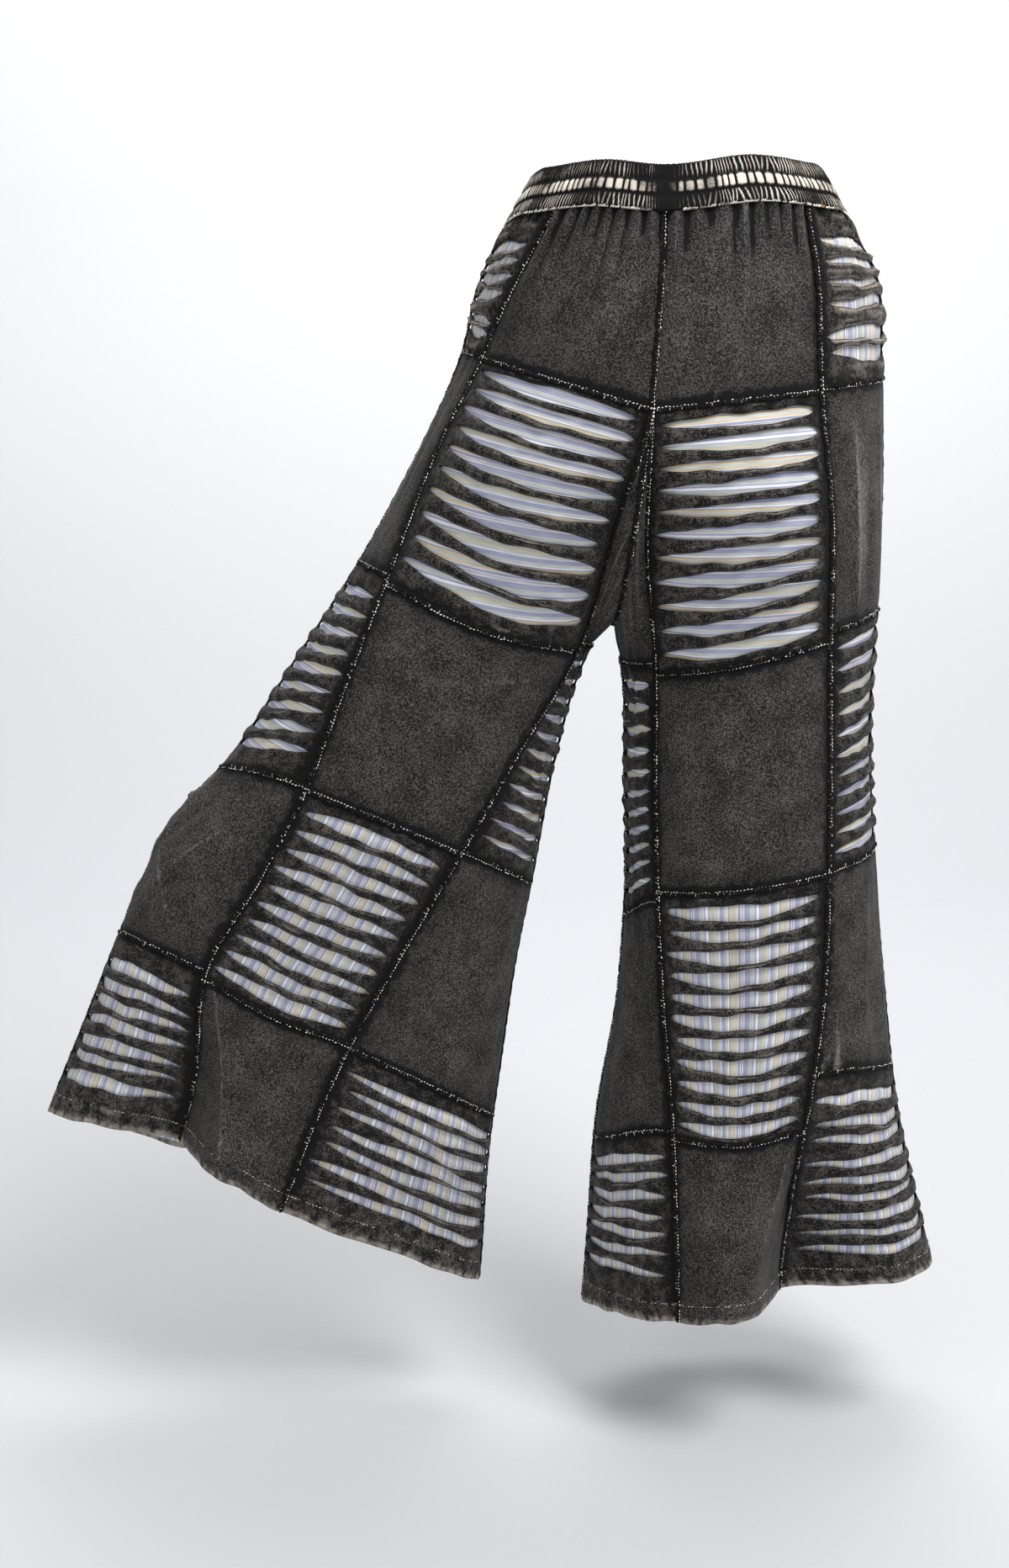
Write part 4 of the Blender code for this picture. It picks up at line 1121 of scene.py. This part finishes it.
for leg in ("right", "left"):
    ridge = ridge_mesh(f"{leg}_seam_ridges", seams[leg], 0.0019, 0.0014, overlock)
    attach(ridge, "root")
    sew(
        f"{leg}_seam_stitches", seams[leg], 11, "waistband",
        Pitch=0.0030, Length=0.0020, Width=0.0009, Aside=0.0021, Above=0.0008, Kept=0.88,
    )
    sew(
        f"{leg}_seam_loops", seams[leg], 12, "waistband", Wander=0.0008,
        Pitch=0.0048, Length=0.0030, Width=0.0005, Aside=0.0004, Above=0.0015, Slant=4.0, Kept=0.26,
    )
    w = np.linspace(-1, 5, 330)
    hem_line = cloth_at(leg, w, hem_drawn(leg, w, np.full_like(w, 10 - 18.5 / 90)), 0.9)
    sew(
        f"{leg}_hem_stitches", [(*hem_line, 1)], 13, "plain",
        Pitch=0.0034, Length=0.0024, Width=0.0006, Above=0.0, Kept=0.7, Wander=0.0002,
    )

# ---- The waistband: a case of the same black cotton round a 36 mm elastic, sewn down in three
# channels. The elastic draws it into small puffs; the wash has bleached the middle channel ivory
# and left pale lines on the ridges of the others. It is overlocked along its lower edge.
BAND_GAP, BAND_HEIGHT, BAND_LEAN = 0.8, 36.0, 0.855
CHANNELS, CHANNEL_ROWS = 3, 8
PUFFS, PUFF_STEPS = 62, 12  # puffs on each leg's half of the band, and columns in a puff
# where the ends of the case are joined at the back, it lies flat over this much of a column
JOIN = 0.14


def band_ring():
    """Places round the waist, with the puff each is in and how far through it, from a seeded draw."""
    rng = np.random.default_rng(31)
    ring = []
    for leg in ("right", "left"):
        sizes = rng.uniform(0.6, 1.4, PUFFS)
        stops = np.concatenate([[0], np.cumsum(sizes)]) / sizes.sum()
        for puff in range(PUFFS):
            for step in range(PUFF_STEPS):
                t = step / PUFF_STEPS
                around = stops[puff] + (stops[puff + 1] - stops[puff]) * t
                ring.append((leg, 1 + 4 * around if leg == "right" else 5 - 4 * around, puff, t))
    return [np.array(values) for values in zip(*ring)]


legs, ws, puffs, through = band_ring()
rng = np.random.default_rng(32)
strengths, slants = (
    rng.uniform(low, high, (2, CHANNELS, PUFFS)) for low, high in ((0.5, 1.0), (-0.35, 0.35))
)
base, out = np.zeros((len(ws), 3)), np.zeros((len(ws), 3))
for leg in ("right", "left"):
    mine = legs == leg
    waist = np.zeros(mine.sum())
    base[mine] = bare_form(leg, ws[mine], waist)
    out[mine] = facing(bare_form, leg, ws[mine], waist)
out[:, 2] = 0
out = unit(out)
joined = np.clip(np.abs(ws - 1) / JOIN, 0, 1)


def band_row(reach, level, rise=0.0):
    """One row round the band, reach out from the waist. The band draws in towards its top."""
    lean = 1 + (BAND_LEAN - 1) * level
    spot = base + out * np.reshape(reach, (-1, 1))
    z = base[:, 2] + BAND_GAP + BAND_HEIGHT * level + rise
    return np.stack([spot[:, 0] * lean, spot[:, 1] * lean, z], -1)


rows, pales = [], []
for row in range(CHANNELS * CHANNEL_ROWS + 1):
    channel = min(row // CHANNEL_ROWS, CHANNELS - 1)
    t = row / CHANNEL_ROWS - channel
    # the middle channel has one round puff where the others have two sharp, slanting ones
    puffed = channel == 1
    strength, slant = (
        drawn[(legs == "left").astype(int), channel, puffs] for drawn in (strengths, slants)
    )
    phase = ((1 if puffed else 2) * through + slant * (t - 0.5) * (0.3 if puffed else 2.2)) % 1.0
    ridge = np.abs(np.sin(math.pi * phase)) ** (0.7 if puffed else 1.6)
    swell = math.sin(math.pi * t) ** 0.6 if 0 < t < 1 else 0.0
    reach = 0.1 + swell * (0.9 + (2.2 if puffed else 1.5) * ridge * strength * joined)
    if channel == 2 and t > 0.5:
        reach = 0.2 + 0.7 + (swell * 0.6 + 0.4) * 1.3 * ridge * strength * joined
    level = (channel + t) / CHANNELS
    rows.append(band_row(reach + 0.3, level, 0.6 * ridge * strength if level > 0.97 else 0.0))
    if puffed:
        pale = ease((ridge - 0.42) / 0.3) * ease((swell - 0.40 - 0.25 * (1 - ridge)) / 0.35)
    else:
        pale = ease((ridge - 0.60) / 0.36) * (0.35 + 0.5 * swell)
    pales.append(pale * (0.35 + 0.65 * strength) * joined)
# inside, the case ends in a seam allowance that hangs down behind the gathers of the yokes
for level, inside, hang in (
    (1.0, -1.0, 0.0), (1.0, -2.6, 0.0), (0.5, -2.6, 0.0), (0.0, -2.6, 0.0), (0.0, -5.4, 3.5),
    (0.0, -4.8, 3.5),
):
    rows.append(band_row(inside, level, -hang))
    pales.append(np.zeros(len(ws)))
grid = np.stack(rows) * MM
index = np.arange(grid[..., 0].size).reshape(grid.shape[:2])
# the ring closes round the waist, and its last row meets its first
over, under = np.roll(index, -1, axis=1), np.roll(index, -1, axis=0)
both = np.roll(over, -1, axis=0)
faces = np.stack([index.ravel(), over.ravel(), both.ravel(), under.ravel()], -1)
mesh = bpy.data.meshes.new("waistband_cloth")
mesh.from_pydata(grid.reshape(-1, 3), [], faces.tolist())
mark(mesh, "pale", pales)
shell = bmesh.new()
shell.from_mesh(mesh)
bmesh.ops.recalc_face_normals(shell, faces=shell.faces[:])
shell.to_mesh(mesh)
shell.free()
mesh.shade_smooth()

shirred, tree, shader = new_finish("shirred cotton, bleached on its ridges")
place = add(tree, "ShaderNodeTexCoord").outputs["Object"]
grain = add(
    tree, "ShaderNodeTexNoise", {"Vector": place, "Scale": 420.0, "Detail": 3.0, "Roughness": 0.7}
).outputs["Fac"]
patches = add(tree, "ShaderNodeTexNoise", {"Vector": place, "Scale": 28.0, "Detail": 2.0}).outputs["Fac"]
pale = add(tree, "ShaderNodeAttribute", attribute_name="pale").outputs["Fac"]
uneven = add(
    tree, "ShaderNodeMapRange",
    {"Value": patches, "From Min": 0.35, "From Max": 0.62, "To Min": 0.45, "To Max": 1.25},
).outputs[0]
shown = add(tree, "ShaderNodeMath", {0: pale, 1: uneven}, operation="MULTIPLY").outputs[0]
speck = add(tree, "ShaderNodeMath", {0: grain, 1: 0.5, 2: -0.25}, operation="MULTIPLY_ADD").outputs[0]
shown = add(tree, "ShaderNodeMath", {0: shown, 1: speck}, operation="ADD").outputs[0]
bleached = add(tree, "ShaderNodeValToRGB", {"Fac": shown})
colour_stops(
    bleached,
    [(0.0, "#09090a"), (0.24, "#151414"), (0.42, "#6a645d"), (0.66, "#b9b1a5"), (1.0, "#dcd5c8")],
)
bump = add(tree, "ShaderNodeBump", {"Strength": 0.5, "Distance": 0.0006, "Height": grain})
wire(tree, shader, {
    "Base Color": bleached.outputs[0], "Normal": bump.outputs[0], "Roughness": 0.93,
    "Specular IOR Level": 0.2,
})
mesh.materials.append(shirred)
waistband = put("waistband_cloth", mesh)
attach(waistband, "root")
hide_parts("waistband")
# the overlocked edge leaves out the join, where the ring begins and ends
edge = grid[0] + out * 0.0006
sewn_from = int((joined < 0.8).sum() / 2)
sewn = slice(sewn_from, -sewn_from)
sew(
    "waistband_overlock", [(edge[sewn], out[sewn], 1)], 14, "waistband",
    Pitch=0.0015, Length=0.0026, Width=0.0009, Above=0.0006, Slant=1.2, Kept=0.92, Wander=0.0003,
)

# ---- The studio: a sweep of paper that runs on from the floor up the wall, soft white light from
# all round, and lamps: one above the camera's right, one at its left, one above, one on the wall.
FLOOR, FLOOR_ENDS, BEND, WALL_TOP = -1.115, 1.8, 1.3, 4.5
profile = [(-6.0, FLOOR), (FLOOR_ENDS, FLOOR)]
for step in range(1, 17):
    turn = math.pi / 2 * step / 16
    profile.append((FLOOR_ENDS + BEND * math.sin(turn), FLOOR + BEND * (1 - math.cos(turn))))
profile.append((FLOOR_ENDS + BEND, WALL_TOP))
sweep_mesh = bpy.data.meshes.new("paper sweep")
sweep_mesh.from_pydata(
    [(x, y, z) for y, z in profile for x in (-6.0, 6.0)],
    [],
    [(2 * i, 2 * i + 1, 2 * i + 3, 2 * i + 2) for i in range(len(profile) - 1)],
)
sweep_mesh.shade_smooth()
sweep = put("paper sweep", sweep_mesh)
paper, tree, shader = new_finish("matt white paper with painted floor shade")
place = add(tree, "ShaderNodeTexCoord").outputs["Object"]
up = add(tree, "ShaderNodeSeparateXYZ", {0: place}).outputs[2]
rise = add(
    tree, "ShaderNodeMapRange", {"Value": up, "From Min": FLOOR, "From Max": 0.3},
    interpolation_type="SMOOTHSTEP",
).outputs[0]
# the paper's colour runs from grey on the floor to white up the wall: painted shade, on paper that is an
# even white
painted_floor_shade = add(tree, "ShaderNodeValToRGB", {"Fac": rise})
colour_stops(painted_floor_shade, [(0.0, "#cdced1"), (1.0, "#eff0f1")])
wire(tree, shader, {"Base Color": painted_floor_shade.outputs[0], "Roughness": 0.95})
sweep_mesh.materials.append(paper)

for label, place, size, power, aim in (
    ("key", (1.1, -1.3, 1.75), 1.3, 72.0, (0.0, 0.0, -0.4)),
    ("fill", (-1.8, -2.0, 1.2), 1.4, 14.0, (0.0, 0.0, -0.2)),
    ("top", (0.0, 0.0, 2.6), 3.2, 24.0, (0.0, 0.0, -0.4)),
    ("wall", (0.0, 1.4, 2.7), 2.2, 72.0, (0.0, 3.1, 0.3)),
):
    light = bpy.data.lights.new(label, "AREA")
    light.size = size
    light.energy = power
    lamp = put(label, light)
    lamp.location = place
    away = [b - a for a, b in zip(place, aim)]
    yaw = math.atan2(-away[0], away[1])
    pitch = math.atan2(math.hypot(away[0], away[1]), -away[2])
    lamp.rotation_euler = (pitch, 0.0, yaw)

studio = bpy.data.worlds.new("studio")
studio.use_nodes = True
background = studio.node_tree.nodes["Background"]
wire(studio.node_tree, background, {"Color": hex_colour("#eef0f3"), "Strength": 0.46})
bpy.context.scene.world = studio
bpy.context.scene.view_settings.view_transform = "Standard"
